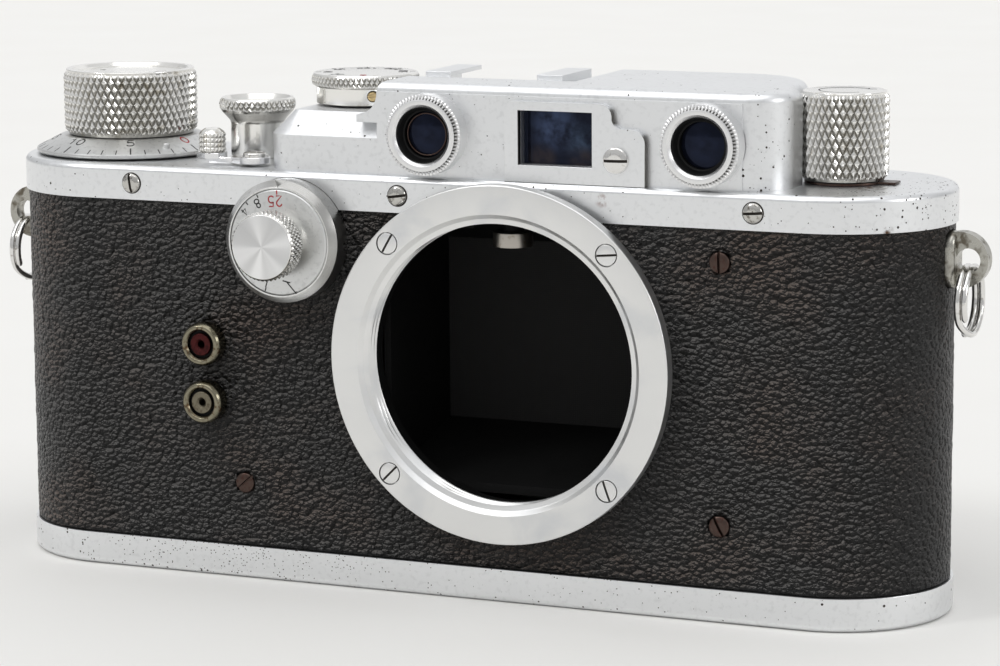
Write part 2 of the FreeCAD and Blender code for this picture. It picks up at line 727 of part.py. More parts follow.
def make_top_bridge():
    """Plate that carries the upper end of every shaft."""
    plate = capsule(SHELL_R - SHELL_WALL - 0.1, BRIDGE_LOW, BRIDGE_HIGH)
    drop = (BRIDGE_LOW - 1, BRIDGE_HIGH + 1)
    holes = [post(SHAFT_HOLE_R, *drop, x, y) for x, y in shaft_places()]
    holes += [post(1.06, *drop, ROLLERS_X, y) for y in ROLLERS_Y]
    holes.append(post(1.56, *drop, *idler_place()))
    holes.append(post(0.96, *drop, ARM_X, ARM_Y))
    holes.append(block((ROLLER_X - 4.5, ROLLER_X + 4.5), (-14, ROLLER_Y + 8.5), drop))
    holes.append(peg(MOUNT_TUBE_R + 0.2, -14, MOUNT_TUBE_END + 0.2, LENS_X, LENS_Z))
    return drilled(plate, holes)


def make_shutter_crate():
    """Casting with the picture gate, two film rails and the floor that carries the shafts' lower ends."""
    front = FILM_PLANE - 1.7
    floor = block((-39.0, 39.2), (-12.9, FILM_PLANE - 0.5), (FLOOR_LOW, FLOOR_HIGH))
    gate = block((-30.0, 39.2), (front, FILM_PLANE - 0.5), (FLOOR_LOW, BRIDGE_LOW))
    rails = [
        block((-12.0, 35.0), (FILM_PLANE - 0.6, FILM_PLANE), (z - 1.0, z + 1.0))
        for z in (LENS_Z - RAIL_RISE, LENS_Z + RAIL_RISE)
    ]
    drop = (FLOOR_LOW - 1, FLOOR_HIGH + 1)
    holes = [post(SHAFT_HOLE_R, *drop, x) for x in (RELEASE_X, DRUM_X)]
    holes += [post(1.06, *drop, ROLLERS_X, y) for y in ROLLERS_Y]
    holes.append(block(
        (LENS_X - GATE_WIDTH / 2, LENS_X + GATE_WIDTH / 2), (front - 1, FILM_PLANE + 1),
        (LENS_Z - GATE_HEIGHT / 2, LENS_Z + GATE_HEIGHT / 2)))
    return drilled(joined([floor, gate] + rails), holes)


def make_light_box():
    """Black box from the lens mount back to the curtain."""
    front = -12.2
    back = 7.45
    wall = 1.0
    knee = 0.0
    half_gate = GATE_HEIGHT / 2 + 0.4
    throat_low = LENS_Z - 17.6
    outer = [
        (front, throat_low - wall), (back, LENS_Z - half_gate - wall), (back, LENS_Z + half_gate + wall),
        (knee, BRIDGE_LOW), (front, BRIDGE_LOW),
    ]
    inner = [
        (front - 1, throat_low), (back + 1, LENS_Z - half_gate), (back + 1, LENS_Z + half_gate),
        (knee - wall, BRIDGE_LOW + 0.5), (front - 1, BRIDGE_LOW + 0.5),
    ]
    half_width = GATE_WIDTH / 2 + 0.2
    box = side_prism(outer, LENS_X - half_width - wall, LENS_X + half_width + wall)
    return box.cut(side_prism(inner, LENS_X - half_width, LENS_X + half_width))


def side_prism(points, low_x, high_x):
    """Solid whose outline lies in the YZ plane."""
    corners = [Vector(low_x, y, z) for y, z in points]
    return Part.Face(Part.makePolygon(corners + corners[:1])).extrude(Vector(high_x - low_x, 0, 0))


def make_pressure_plate():
    """Sprung plate that holds the film flat against its rails."""
    plate = block((-14.0, 37.0), (FILM_PLANE + 0.2, FILM_PLANE + 1.2), (LENS_Z - 16, LENS_Z + 16))
    springs = [
        block((x - 5, x + 5), (FILM_PLANE + 1.1, SHELL_R - SHELL_WALL - 0.05), (LENS_Z - 2, LENS_Z + 2))
        for x in (0.0, 22.0)
    ]
    return joined([plate] + springs)


def make_curtain():
    return block((DRUM_X, ROLLERS_X), (CURTAIN_Y, CURTAIN_Y + 0.2), (LENS_Z - 14, LENS_Z + 14))


def make_curtain_drum():
    """Main drum. Its shaft rises through the top plate and carries the speed dial."""
    return turned([
        (0, FLOOR_LOW), (SHAFT_R, FLOOR_LOW), (SHAFT_R, 9.0), (DRUM_R, 9.0), (DRUM_R, 48.6), (SHAFT_R, 48.6),
        (SHAFT_R, 67.0), (0, 67.0),
    ], DRUM_X)


def make_spring_roller(y):
    return turned([
        (0, FLOOR_LOW), (1.0, FLOOR_LOW), (1.0, 9.0), (SPRING_ROLLER_R, 9.0), (SPRING_ROLLER_R, 48.6),
        (1.0, 48.6), (1.0, BRIDGE_HIGH), (0, BRIDGE_HIGH),
    ], ROLLERS_X, y)


def make_film_sprocket():
    """Tube with two rims of eight teeth that carry the film's holes."""
    low = FLOOR_LOW
    body = turned([
        (1.2, low), (SHAFT_R, low), (SHAFT_R, 10.0), (6.0, 10.0), (6.0, 14.0), (4.6, 15.0), (4.6, 43.0),
        (6.0, 44.0), (6.0, 48.0), (SHAFT_R, 48.0), (SHAFT_R, GEAR_HIGH), (1.2, GEAR_HIGH),
    ], RELEASE_X)
    teeth = []
    for z in (12.2, 45.8):
        for index in range(8):
            tooth = block((5.6, 7.1), (-0.8, 0.8), (z - 0.6, z + 0.6))
            tooth.rotate(Vector(0, 0, 0), UP, index * 45)
            tooth.translate(Vector(RELEASE_X, 0, 0))
            teeth.append(tooth)
    return joined([body] + teeth)


def make_take_up_spool():
    flange_r = 11.3
    return turned([
        (0, 8.0), (flange_r, 8.0), (flange_r, 9.0), (5.4, 9.4), (5.4, 45.4), (flange_r, 45.8),
        (flange_r, 46.8), (SHAFT_R + FIT, 46.8), (SHAFT_R + FIT, 38.0), (0, 38.0),
    ], WIND_X)


def make_escapement():
    """Slow-speed clockwork: two plates, their posts and three wheels between them."""
    x_span = (-24.0, -9.5)
    z_span = (12.0, 38.0)
    plates = [block(x_span, (y, y + 0.7), z_span) for y in (-12.9, -9.4)]
    posts = [peg(0.7, -12.3, -9.3, x, z) for x in (-22.8, -10.7) for z in (13.2, 36.8)]
    wheels = []
    for x, z, radius in ((-17.0, 18.5, 4.6), (-15.0, 27.0, 3.6), (-18.0, 33.4, 2.8)):
        wheels.append(peg(radius, -11.5, -10.8, x, z))
        wheels.append(peg(0.6, -12.3, -9.3, x, z))
    return joined(plates + posts + wheels)


# ---------------------------------------------------------------- gear train

def idler_place():
    """The idler stands behind the line from the wind shaft to the sprocket."""
    reach = GEAR_MODULE * (GEAR_TEETH + IDLER_TEETH) / 2
    half_span = (RELEASE_X - WIND_X) / 2
    return WIND_X + half_span, math.sqrt(reach ** 2 - half_span ** 2)


def idler_angle():
    """Direction from the wind shaft to the idler, in degrees."""
    x, y = idler_place()
    return math.degrees(math.atan2(y, x - WIND_X))


def mesh_turn(driver_turn, driver_teeth, direction, driven_teeth):
    """Turn that puts the driven gear's gap on the driver's tooth. direction is from driver to driven."""
    past_tooth = ((direction - driver_turn) * driver_teeth / 360.0) % 1.0
    return direction + 180.0 + (past_tooth - 0.5) * 360.0 / driven_teeth


def idler_turn():
    return mesh_turn(idler_angle(), GEAR_TEETH, idler_angle(), IDLER_TEETH)


def sprocket_turn():
    return mesh_turn(idler_turn(), IDLER_TEETH, -idler_angle(), GEAR_TEETH)


def make_idler_gear():
    """Meshes with the wind gear and the sprocket gear. Its stud turns in the top bridge."""
    x, y = idler_place()
    wheel = gear(IDLER_TEETH, x, y, idler_turn(), 0.8)
    return joined([wheel, post(1.5, BRIDGE_LOW, GEAR_HIGH, x, y)])


def make_sprocket_gear():
    return gear(GEAR_TEETH, RELEASE_X, 0.0, sprocket_turn(), SHAFT_R + FIT)


def make_drum_gear():
    turn = mesh_turn(sprocket_turn(), GEAR_TEETH, 0.0, GEAR_TEETH)
    return gear(GEAR_TEETH, DRUM_X, 0.0, turn, SHAFT_R + FIT)


# ---------------------------------------------------------------- winding, counter, release

def make_wind_shaft():
    """Shaft from the knob down to the take-up spool, with the train's first gear on it."""
    wheel = gear(GEAR_TEETH, WIND_X, 0.0, idler_angle(), SHAFT_R - 0.2)
    return joined([post(SHAFT_R, 38.0 + FIT, 66.6, WIND_X), wheel])


def make_wind_knob():
    knob = turned([
        (SHAFT_R + FIT, 59.7), (9.0, 59.7), (9.5, 60.1), (9.5, 68.5), (9.1, 68.9), (8.3, 68.9), (7.9, 68.4),
        (0, 68.4), (0, 66.7), (SHAFT_R + FIT, 66.7),
    ], WIND_X)
    pin_holes = [post(0.45, 67.9, 69, WIND_X + dx) for dx in (-4.4, 4.4)]
    return drilled(knob, pin_holes)


def make_frame_counter():
    dial = turned([
        (SHAFT_R + 0.3, DECK + GAP), (13.2, DECK + GAP), (13.45, DECK + 0.5), (13.4, DECK + 0.85),
        (10.6, 59.45), (SHAFT_R + 0.3, 59.45),
    ], WIND_X)
    stud_x, stud_y = polar(WIND_X, 0, 11.8, -37)
    return joined([dial, post(0.5, DECK + 1, 59.3, stud_x, stud_y)])


def make_release_collar():
    return turned([
        (RELEASE_BORE_R, DECK), (3.8, DECK), (3.8, 62.2), (5.0, 63.4), (5.4, 63.8), (5.4, 65.1),
        (5.1, 65.4), (4.7, 65.4),
        (4.2, 64.6), (2.6, 63.9), (RELEASE_BORE_R, 63.7),
    ], RELEASE_X)


def make_release_button():
    return turned([
        (0, 9.0), (RELEASE_STEM_R, 9.0), (RELEASE_STEM_R, 58.2), (2.22, 58.2), (2.22, 64.1),
        (1.9, 64.5), (1.2, 64.4), (0, 64.3),
    ], RELEASE_X)


def make_release_spring():
    """The space that the button's coil spring fills, above the sprocket gear."""
    return tube(1.86, 1.54, GEAR_HIGH + GAP, 58.0, RELEASE_X)


def make_lever():
    """Lever that frees the sprocket for rewinding, with its small knurled knob."""
    x, y = LEVER_PIVOT
    low = DECK + 0.3
    arm = block((LEVER_KNOB_X, x), (y - 1.5, y + 1.2), (low, low + 0.95))
    hub = post(2.2, low, low + 0.95, x, y)
    pad = block((LEVER_KNOB_X - 2.4, LEVER_KNOB_X + 1.8), (y - 1.9, y + 1.5), (low + 0.45, 58.7))
    knob = turned([
        (0, 58.6), (1.5, 58.6), (1.9, 59.0), (1.9, 61.4), (1.2, 61.9), (0, 62.0),
    ], LEVER_KNOB_X, LEVER_PIVOT[1])
    lever = joined([arm, hub, pad, knob])
    return lever.cut(post(0.86, low - 1, low + 3, *LEVER_PIVOT))


def make_lever_screw():
    x, y = LEVER_PIVOT
    screw = joined([post(1.6, 58.35, 58.95, x, y), post(0.8, 53.5, 58.4, x, y)])
    slot = block((-2, 2), (-0.2, 0.2), (58.65, 60))
    slot.rotate(Vector(0, 0, 0), UP, 35)
    slot.translate(Vector(x, y, 0))
    return screw.cut(slot)


# ---------------------------------------------------------------- speed dial

def make_speed_sleeve():
    """Sprung sleeve on the drum's shaft that the speed dial lifts with."""
    return turned([
        (SHAFT_R + RUNNING_FIT, LOW_DECK + 0.4), (4.4, LOW_DECK + 0.4), (4.4, LOW_DECK + 1.0),
        (3.4, LOW_DECK + 1.0), (3.4, 68.2), (SHAFT_R + RUNNING_FIT, 68.2),
    ], DRUM_X)


def make_speed_dial():
    dial = turned([
        (4.5, LOW_DECK + 0.25), (6.85, LOW_DECK + 0.25), (6.85, 67.5), (7.5, 67.9), (7.5, 69.1), (7.2, 69.4),
        (0, 69.4), (0, 68.3), (3.46, 68.3), (3.46, LOW_DECK + 1.1), (4.5, LOW_DECK + 1.1),
    ], DRUM_X)
    return dial.cut(speed_screw_blank(0.75, 4.9))


def speed_screw_blank(radius, inner):
    """Small cylinder set into the side of the speed dial."""
    angle = math.radians(SPEED_SCREW_DEGREES)
    direction = Vector(math.cos(angle), math.sin(angle), 0)
    start = Vector(DRUM_X, 0, 66.6) + direction * inner
    return Part.makeCylinder(radius, 6.86 - inner, start, direction)


def make_speed_screw():
    return speed_screw_blank(0.7, 5.0)


# ---------------------------------------------------------------- rewind knob and diopter lever

def make_rewind_shaft():
    """Shaft with a two-pronged fork that turns the film cassette's spool."""
    shaft = post(SHAFT_R, 44.0, 66.4, REWIND_X)
    collar = post(3.2, 47.0, 50.0, REWIND_X)
    prongs = [block((x - 0.5, x + 0.5), (-1, 1), (41.0, 44.5)) for x in (REWIND_X - 1.5, REWIND_X + 1.5)]
    return joined([shaft, collar] + prongs)


def make_rewind_knob():
    return turned([
        (SHAFT_R + RUNNING_FIT, 57.5), (5.6, 57.5), (5.92, 57.8), (5.92, 68.75), (5.55, 69.1),
        (0, 69.1), (0, 67.6), (SHAFT_R + RUNNING_FIT, 67.6),
    ], REWIND_X)


def make_diopter_lever():
    low = DECK + 0.06
    high = low + 0.3
    ring = tube(5.2, SHAFT_R + 0.3, low, high, REWIND_X)
    tab = block((REWIND_X + 4.5, REWIND_X + 7.3), (-1.3, 1.3), (low, high))
    return joined([ring, tab]).cut(post(SHAFT_R + 0.3, low - 1, low + 2, REWIND_X))


# ---------------------------------------------------------------- base plate

def make_base_plate():
    tray = capsule(OUTER_R, 0, BASE_TOP)
    tray = tray.makeFillet(1.0, edges_at(tray, 0))
    tray = tray.cut(capsule(SHELL_R + GAP, 1.0, BASE_TOP + 1))
    holes = [post(KEY_R + GAP, -1, 3, KEY_X), post(TRIPOD_BOSS_R + FIT, -1, 3, TRIPOD_X)]
    return drilled(tray, holes)


def make_tripod_bush():
    bush = turned([
        (TRIPOD_R, 0.05), (TRIPOD_BOSS_R, 0.05), (TRIPOD_BOSS_R, 1.05), (8.6, 1.05), (8.6, 2.0), (5.2, 2.0),
        (5.2, TRIPOD_HIGH), (TRIPOD_R, TRIPOD_HIGH),
    ], TRIPOD_X)
    return bush


def make_lock_key():
    """Disc in the base with a cam on its inner side and a recess for the folding handle."""
    disc = turned([
        (0, 0.1), (KEY_R, 0.1), (KEY_R, 1.15), (9.3, 1.15), (9.3, 1.9), (2.2, 1.9), (2.2, 3.6), (0, 3.6),
    ], KEY_X)
    cam = block((KEY_X - 2.2, KEY_X + 9.0), (-2.2, 2.2), (2.6, 3.6))
    recess = post(6.9, -1, 1.2, KEY_X).common(block((KEY_X - 10, KEY_X + 10), (-1.2, 10), (-1, 2)))
    return joined([disc, cam]).cut(recess)


def make_key_handle():
    """Half-round handle that folds flat into the lock key."""
    plate = post(6.6, 0.15, 0.85, KEY_X).common(block((KEY_X - 10, KEY_X + 10), (-0.95, 10), (-1, 2)))
    finger = post(3.2, -1, 2, KEY_X, 1.6).common(block((KEY_X - 10, KEY_X + 10), (1.2, 10), (-1, 2)))
    return plate.cut(finger)


# ---------------------------------------------------------------- all pieces

def all_pieces():
    return {
        "body_shell": make_body_shell(),
        "body_covering": make_body_covering(),
        "body_screws": make_body_screws(),
        "strap_lugs": Part.makeCompound([make_strap_lug(side) for side in (-1, 1)]),
        "strap_ring_left": make_strap_ring(-1),
        "strap_ring_right": make_strap_ring(1),
        "lens_mount_collar": make_mount_collar(),
        "lens_mount_ring": make_mount_ring(),
        "lens_mount_screws": make_mount_screws(),
        "sync_rings": make_sync_rings(),
        "sync_contacts": make_sync_contacts(),
        "slow_dial_ring": make_slow_dial_ring(),
        "slow_speed_dial": make_slow_dial(),
        "slow_speed_knob": make_slow_knob(),
        "top_plate": make_top_plate(),
        "top_plate_screws": make_skirt_screws(),
        "finder_housing": make_finder_housing(),
        "viewfinder_cover": make_view_cover(),
        "viewfinder_cover_screw": make_view_screw(),
        "rangefinder_bezels": make_range_bezels(),
        "finder_glasses": make_finder_glasses(),
        "eyepiece_bezels": make_eyepieces(),
        "accessory_shoe": make_accessory_shoe(),
        "accessory_shoe_screws": make_shoe_screws(),
        "rangefinder_arm": make_range_arm(),
        "rangefinder_roller": make_range_roller(),
        "rangefinder_prism": make_range_prism(),
        "rangefinder_mirror": make_range_mirror(),
        "top_bridge": make_top_bridge(),
        "shutter_crate": make_shutter_crate(),
        "light_box": make_light_box(),
        "pressure_plate": make_pressure_plate(),
        "shutter_curtain": make_curtain(),
        "curtain_drum": make_curtain_drum(),
        "first_spring_roller": make_spring_roller(ROLLERS_Y[0]),
        "second_spring_roller": make_spring_roller(ROLLERS_Y[1]),
        "film_sprocket": make_film_sprocket(),
        "take_up_spool": make_take_up_spool(),
        "slow_speed_escapement": make_escapement(),
        "idler_gear": make_idler_gear(),
        "sprocket_gear": make_sprocket_gear(),
        "drum_gear": make_drum_gear(),
        "wind_shaft": make_wind_shaft(),
        "wind_knob": make_wind_knob(),
        "frame_counter_dial": make_frame_counter(),
        "release_collar": make_release_collar(),
        "release_button": make_release_button(),
        "release_spring": make_release_spring(),
        "rewind_clutch_lever": make_lever(),
        "lever_pivot_screw": make_lever_screw(),
        "speed_dial_sleeve": make_speed_sleeve(),
        "speed_dial": make_speed_dial(),
        "speed_dial_screw": make_speed_screw(),
        "rewind_shaft": make_rewind_shaft(),
        "rewind_knob": make_rewind_knob(),
        "diopter_lever": make_diopter_lever(),
        "base_plate": make_base_plate(),
        "tripod_bush": make_tripod_bush(),
        "base_lock_key": make_lock_key(),
        "lock_key_handle": make_key_handle(),
    }


os.makedirs("parts", exist_ok=True)
for name, shape in all_pieces().items():
    shape.exportStep(os.path.join("parts", name + ".step"))
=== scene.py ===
import json
import math
from dataclasses import dataclass
from typing import Callable

import bmesh
import bpy
import numpy as np
from mathutils import Matrix, Vector, noise

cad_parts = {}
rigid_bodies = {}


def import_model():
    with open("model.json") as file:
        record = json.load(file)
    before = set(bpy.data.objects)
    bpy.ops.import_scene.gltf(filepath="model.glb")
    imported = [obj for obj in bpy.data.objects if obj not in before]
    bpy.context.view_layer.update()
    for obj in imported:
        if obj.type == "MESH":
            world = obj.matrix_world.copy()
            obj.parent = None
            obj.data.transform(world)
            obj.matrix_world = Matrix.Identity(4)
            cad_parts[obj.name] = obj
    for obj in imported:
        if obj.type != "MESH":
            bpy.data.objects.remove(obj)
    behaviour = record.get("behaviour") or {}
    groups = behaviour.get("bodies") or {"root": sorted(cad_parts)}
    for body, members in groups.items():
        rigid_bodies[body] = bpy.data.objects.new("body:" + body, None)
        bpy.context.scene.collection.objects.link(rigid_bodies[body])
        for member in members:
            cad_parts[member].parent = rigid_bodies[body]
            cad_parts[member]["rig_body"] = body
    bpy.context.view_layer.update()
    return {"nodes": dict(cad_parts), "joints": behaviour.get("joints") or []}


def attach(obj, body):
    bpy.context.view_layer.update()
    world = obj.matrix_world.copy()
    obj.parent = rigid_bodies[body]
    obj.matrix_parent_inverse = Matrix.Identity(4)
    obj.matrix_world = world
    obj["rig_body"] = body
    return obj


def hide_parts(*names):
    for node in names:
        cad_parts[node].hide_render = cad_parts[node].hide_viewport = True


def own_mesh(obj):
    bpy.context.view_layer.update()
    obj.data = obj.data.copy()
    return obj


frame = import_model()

# Looks of a rangefinder camera body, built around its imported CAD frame.
# Shapes are written in millimetres in the CAD frame: +Z up, front facing -Y, +X at the rewind end.
# A turned piece has its axis on its own Z. On the camera's front, heights run towards the viewer.

MM = 0.001

# ---------------------------------------------------------------- places and sizes

END_X = 52.5
BODY_FACE = 14.6
SKIRT_FACE = 15.5
HOUSING_FACE = 14.8
MOUNT_FLOOR = 17.9
LEVER_TOP = 58.35
SHOE_FLOOR = 67.05
SPEED_FACE = 69.4
SLOW_FACE = 19.4
REWIND_FACE = 69.1
LENS = (11.2, 32.9)
WIND_X = -53.0
RELEASE_X = -32.8
DRUM_X = -16.0
REWIND_X = 53.0
SLOW = (-20.25, 47.95)
SYNC_X = -33.6
SYNC_HEIGHTS = (32.8, 24.7)
BODY_SCREWS = ((41.1, 47.8, 92), (41.2, 13.0, 118), (-28.05, 13.5, 42))
SKIRT_SCREWS = ((-44.6, 98), (-4.3, 8), (45.7, 4))
SKIRT_SCREW_Z = 54.5
RANGE_WINDOWS_X = (-0.2, 38.6)
WINDOW_Z = 62.85
VIEW_LOW = (12.9, 59.3)
VIEW_HIGH = (23.3, 66.5)
VIEW_SCREW = (26.7, 60.4)
EYEPIECES_X = (22.0, 31.0)
EYEPIECE_Z = 62.5
LEVER_PIVOT = (-28.3, -10.0)
LEVER_KNOB_X = -34.8
SPEED_SCREW_DEGREES = -57
SHOE_SCREWS = tuple((4.95 + dx, y) for dx in (-4.5, 4.5) for y in (-1.0, 4.0))
MOUNT_SCREW_CIRCLE_R = 22.08
MOUNT_SCREWS = ((45, 5), (135, 60), (225, 45), (315, -70))
ROLLER = (9.9, -9.5, 48.7)
TRIPOD_X = -49.0
RING_X = 70.15
COVERING_R = 15.2
COVERING_LOW = 4.75
COVERING_HIGH = 52.05

SMOOTH_COLUMNS = 128
SCREW_COLUMNS = 56
KNURL_SUB = 3
KNURL_PITCH = 2.1
COUNTER_STEPS = 40
ARC_STEP = math.radians(14)
SHARP = math.radians(32)


# ---------------------------------------------------------------- outlines and meshes

def arc(centre, radii, start, end, step=18):
    """Points of an elliptical arc, angles in degrees."""
    count = max(2, round(abs(end - start) / step))
    angles = [math.radians(start + (end - start) * index / count) for index in range(count + 1)]
    return [(centre[0] + radii[0] * math.cos(a), centre[1] + radii[1] * math.sin(a)) for a in angles]


def rounded(corners, loop):
    """Outline through the corners. A corner given as (a, b, radius) is rounded."""
    points = []
    for index, corner in enumerate(corners):
        here = Vector(corner[:2])
        is_end = not loop and index in (0, len(corners) - 1)
        if len(corner) == 2 or is_end:
            points.append(here)
            continue
        radius = corner[2]
        back = (Vector(corners[index - 1][:2]) - here).normalized()
        ahead = (Vector(corners[(index + 1) % len(corners)][:2]) - here).normalized()
        half = back.angle(ahead) / 2
        centre = here + (back + ahead).normalized() * radius / math.sin(half)
        first = here + back * radius / math.tan(half) - centre
        sweep = (math.pi - 2 * half) * math.copysign(1, back.x * ahead.y - back.y * ahead.x) * -1
        steps = max(2, math.ceil(abs(sweep) / ARC_STEP))
        for step in range(steps + 1):
            points.append(centre + Matrix.Rotation(sweep * step / steps, 2) @ first)
    return points


@dataclass
class Band:
    """A knurled, serrated or threaded stretch of a turned wall."""
    low: float
    high: float
    rows: int
    columns: int
    surface: Callable
    cell: int = 0


def wave(value):
    """Triangle wave: 0 at whole numbers, 1 half way between them."""
    return 1 - np.abs(2 * (value - np.floor(value)) - 1)


def knurl(radius, low, high, count, pitch, depth, chamfer=0.35, square=False):
    """Crossed grooves in a round wall, cut off by a chamfer at both ends."""
    half_rows = max(1, round(2 * (high - low) / pitch))
    pitch = 2 * (high - low) / half_rows

    def surface(theta, height):
        around = count * theta / (2 * math.pi)
        along = (height - low) / pitch
        if square:
            lift = np.minimum(wave(around), wave(along))
        else:
            lift = np.minimum(wave(around + along), wave(around - along))
        cut = radius - depth * (1 - np.minimum(1, lift * 1.12))
        envelope = radius - max(0, chamfer - (height - low), chamfer - (high - height))
        return np.minimum(cut, envelope), 1 - lift

    return Band(low, high, half_rows * KNURL_SUB, 2 * count * KNURL_SUB, surface, KNURL_SUB)


def serration(radius_low, radius_high, low, high, count, depth):
    """Straight grooves across a sloping edge."""

    def surface(theta, height):
        share = (height - low) / (high - low)
        lift = wave(count * theta / (2 * math.pi))
        fade = min(1, 6 * share, 6 * (1 - share))
        envelope = radius_low + (radius_high - radius_low) * share
        return envelope - depth * fade * (1 - lift), (1 - lift) * fade

    return Band(low, high, 8, 2 * count * 2, surface)


def thread(minor, low, high, pitch, depth):
    """Screw thread inside a bore."""

    def surface(theta, height):
        turn = height / pitch - theta / (2 * math.pi)
        fade = min(1, (high - height) / (pitch / 2), (height - low) / (pitch / 2))
        deep = wave(turn) * max(0, fade)
        return minor + depth * deep, deep

    rows = 8 * round((high - low) / pitch)
    return Band(low, high, rows, SMOOTH_COLUMNS, surface)


def spans(band, first, second):
    """True if a straight stretch of the outline is the one that the band fills."""
    low, high = sorted((first, second))
    return abs(low - band.low) < 1e-4 and abs(high - band.high) < 1e-4


def turned_mesh(corners, loop=False, band=None, columns=SMOOTH_COLUMNS):
    """Vertices, faces and groove depths of a piece turned about Z.

    A corner is (radius, height, rounding).
    """
    columns = band.columns if band else columns
    theta = np.arange(columns) * 2 * math.pi / columns
    flat = np.zeros(columns)
    rings = []
    outline = rounded(corners, loop)
    for index, point in enumerate(outline):
        rings.append((np.full(columns, point.x), point.y, flat, 0, None))
        after = outline[(index + 1) % len(outline)]
        if band and spans(band, point.y, after.y):
            for row in range(1, band.rows):
                height = point.y + (after.y - point.y) * row / band.rows
                radius, depth = band.surface(theta, height)
                rings.append((radius, height, depth, 1, row))
    vertices = []
    grooves = []
    for radius, height, depth, _, _ in rings:
        vertices.append(np.stack([radius * np.cos(theta), radius * np.sin(theta), flat + height], 1))
        grooves.append(depth)
    faces = []
    for row in range(len(rings) if loop else len(rings) - 1):
        above = (row + 1) % len(rings)
        cut_row = rings[row][4]
        for column in range(columns):
            right = (column + 1) % columns
            a, b = row * columns + column, row * columns + right
            c, d = above * columns + right, above * columns + column
            if band and band.cell and (cut_row is not None or rings[above][4] == 1):
                even = (column // band.cell + (cut_row or 0) // band.cell) % 2 == 0
                faces += [(a, b, c), (a, c, d)] if even else [(a, b, d), (b, c, d)]
            else:
                faces.append((a, b, c, d))
    return np.concatenate(vertices), faces, np.concatenate(grooves)


def merged(parts):
    """One list of vertices and faces from several (vertices, faces, place) parts."""
    vertices = []
    faces = []
    for points, part_faces, place in parts:
        start = sum(len(block) for block in vertices)
        turn = np.array(place)
        vertices.append(np.asarray(points) @ turn[:3, :3].T + turn[:3, 3] / MM)
        faces += [tuple(start + index for index in face) for face in part_faces]
    return np.concatenate(vertices), faces


def make_object(name, vertices, faces, place=None, grooves=None):
    """Object from millimetre vertices, with its faces turned outwards and smoothed up to sharp edges."""
    mesh = bpy.data.meshes.new(name)
    mesh.from_pydata((np.asarray(vertices) * MM).tolist(), [], faces)
    if grooves is not None:
        mesh.attributes.new("groove", "FLOAT", "POINT").data.foreach_set("value", grooves.astype(np.float32))
    shape = bmesh.new()
    shape.from_mesh(mesh)
    bmesh.ops.remove_doubles(shape, verts=shape.verts, dist=1e-8)
    bmesh.ops.recalc_face_normals(shape, faces=shape.faces)
    shape.to_mesh(mesh)
    shape.free()
    thing = linked(name, mesh)
    if place is not None:
        thing.matrix_world = place
    return thing


def box_mesh(x_span, y_span, z_span):
    """Vertices and faces of a block, for cutting with."""
    vertices = [(x, y, z) for x in x_span for y in y_span for z in z_span]
    faces = [(0, 1, 3, 2), (4, 6, 7, 5), (0, 4, 5, 1), (2, 3, 7, 6), (0, 2, 6, 4), (1, 5, 7, 3)]
    return vertices, faces


def peg_mesh(radius, low, high, columns=40):
    """Vertices and faces of a round peg, for cutting with."""
    vertices, faces, _ = turned_mesh([(0, low), (radius, low), (radius, high), (0, high)], columns=columns)
    return vertices, faces


def carved(thing, parts):
    """Takes the shapes in parts out of the thing's mesh."""
    cutter = make_object(thing.name + "-cutter", *merged(parts))
    step = thing.modifiers.new("cut", "BOOLEAN")
    step.object = cutter
    step.solver = "EXACT"
    thing.data = evaluated_mesh(thing)
    bpy.data.objects.remove(cutter)
    return thing


def finished(thing, body, material):
    """Shades, paints and attaches a piece."""
    mesh = thing.data
    mesh.polygons.foreach_set("use_smooth", [True] * len(mesh.polygons))
    mesh.set_sharp_from_angle(angle=SHARP)
    paint(mesh, material)
    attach(thing, body)
    return thing


def standing_for(node, thing, material):
    """Finishes a piece that is shown in place of a CAD node, on the node's body."""
    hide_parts(node)
    return finished(thing, body_of(node), material)


def body_of(node):
    return frame["nodes"][node]["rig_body"]


def paint(mesh, material):
    mesh.materials.clear()
    mesh.materials.append(material)


def evaluated_mesh(thing):
    """The thing's mesh with its modifiers applied and gone."""
    bpy.context.view_layer.update()
    evaluated = thing.evaluated_get(bpy.context.evaluated_depsgraph_get())
    mesh = bpy.data.meshes.new_from_object(evaluated)
    thing.modifiers.clear()
    return mesh


def linked(name, data):
    """A new object in the scene."""
    thing = bpy.data.objects.new(name, data)
    bpy.context.scene.collection.objects.link(thing)
    return thing


def upright(x, y=0.0, z=0.0):
    """Place of a piece whose axis points up."""
    return Matrix.Translation(Vector((x, y, z)) * MM)


def spin(degrees, axis="Z"):
    return Matrix.Rotation(math.radians(degrees), 4, axis)


def facing(x, z, depth=0.0, slot=0.0):
    """Place of a piece whose axis points out of the camera's front."""
    return upright(x, -depth, z) @ spin(90, "X") @ spin(slot)


def backing(x, z, depth=0.0, slot=0.0):
    """Place of a piece whose axis points out of the camera's back."""
    return spin(180) @ facing(-x, z, depth, slot)


def turned(name, node, material, place, corners, loop=False, band=None, cuts=()):
    """A piece turned on the lathe, with any cuts taken out of it, in place of a CAD node."""
    vertices, faces, grooves = turned_mesh(corners, loop, band)
    thing = make_object(name, vertices, faces, None, grooves)
    if cuts:
        carved(thing, cuts)
    thing.matrix_world = place
    return standing_for(node, thing, material)


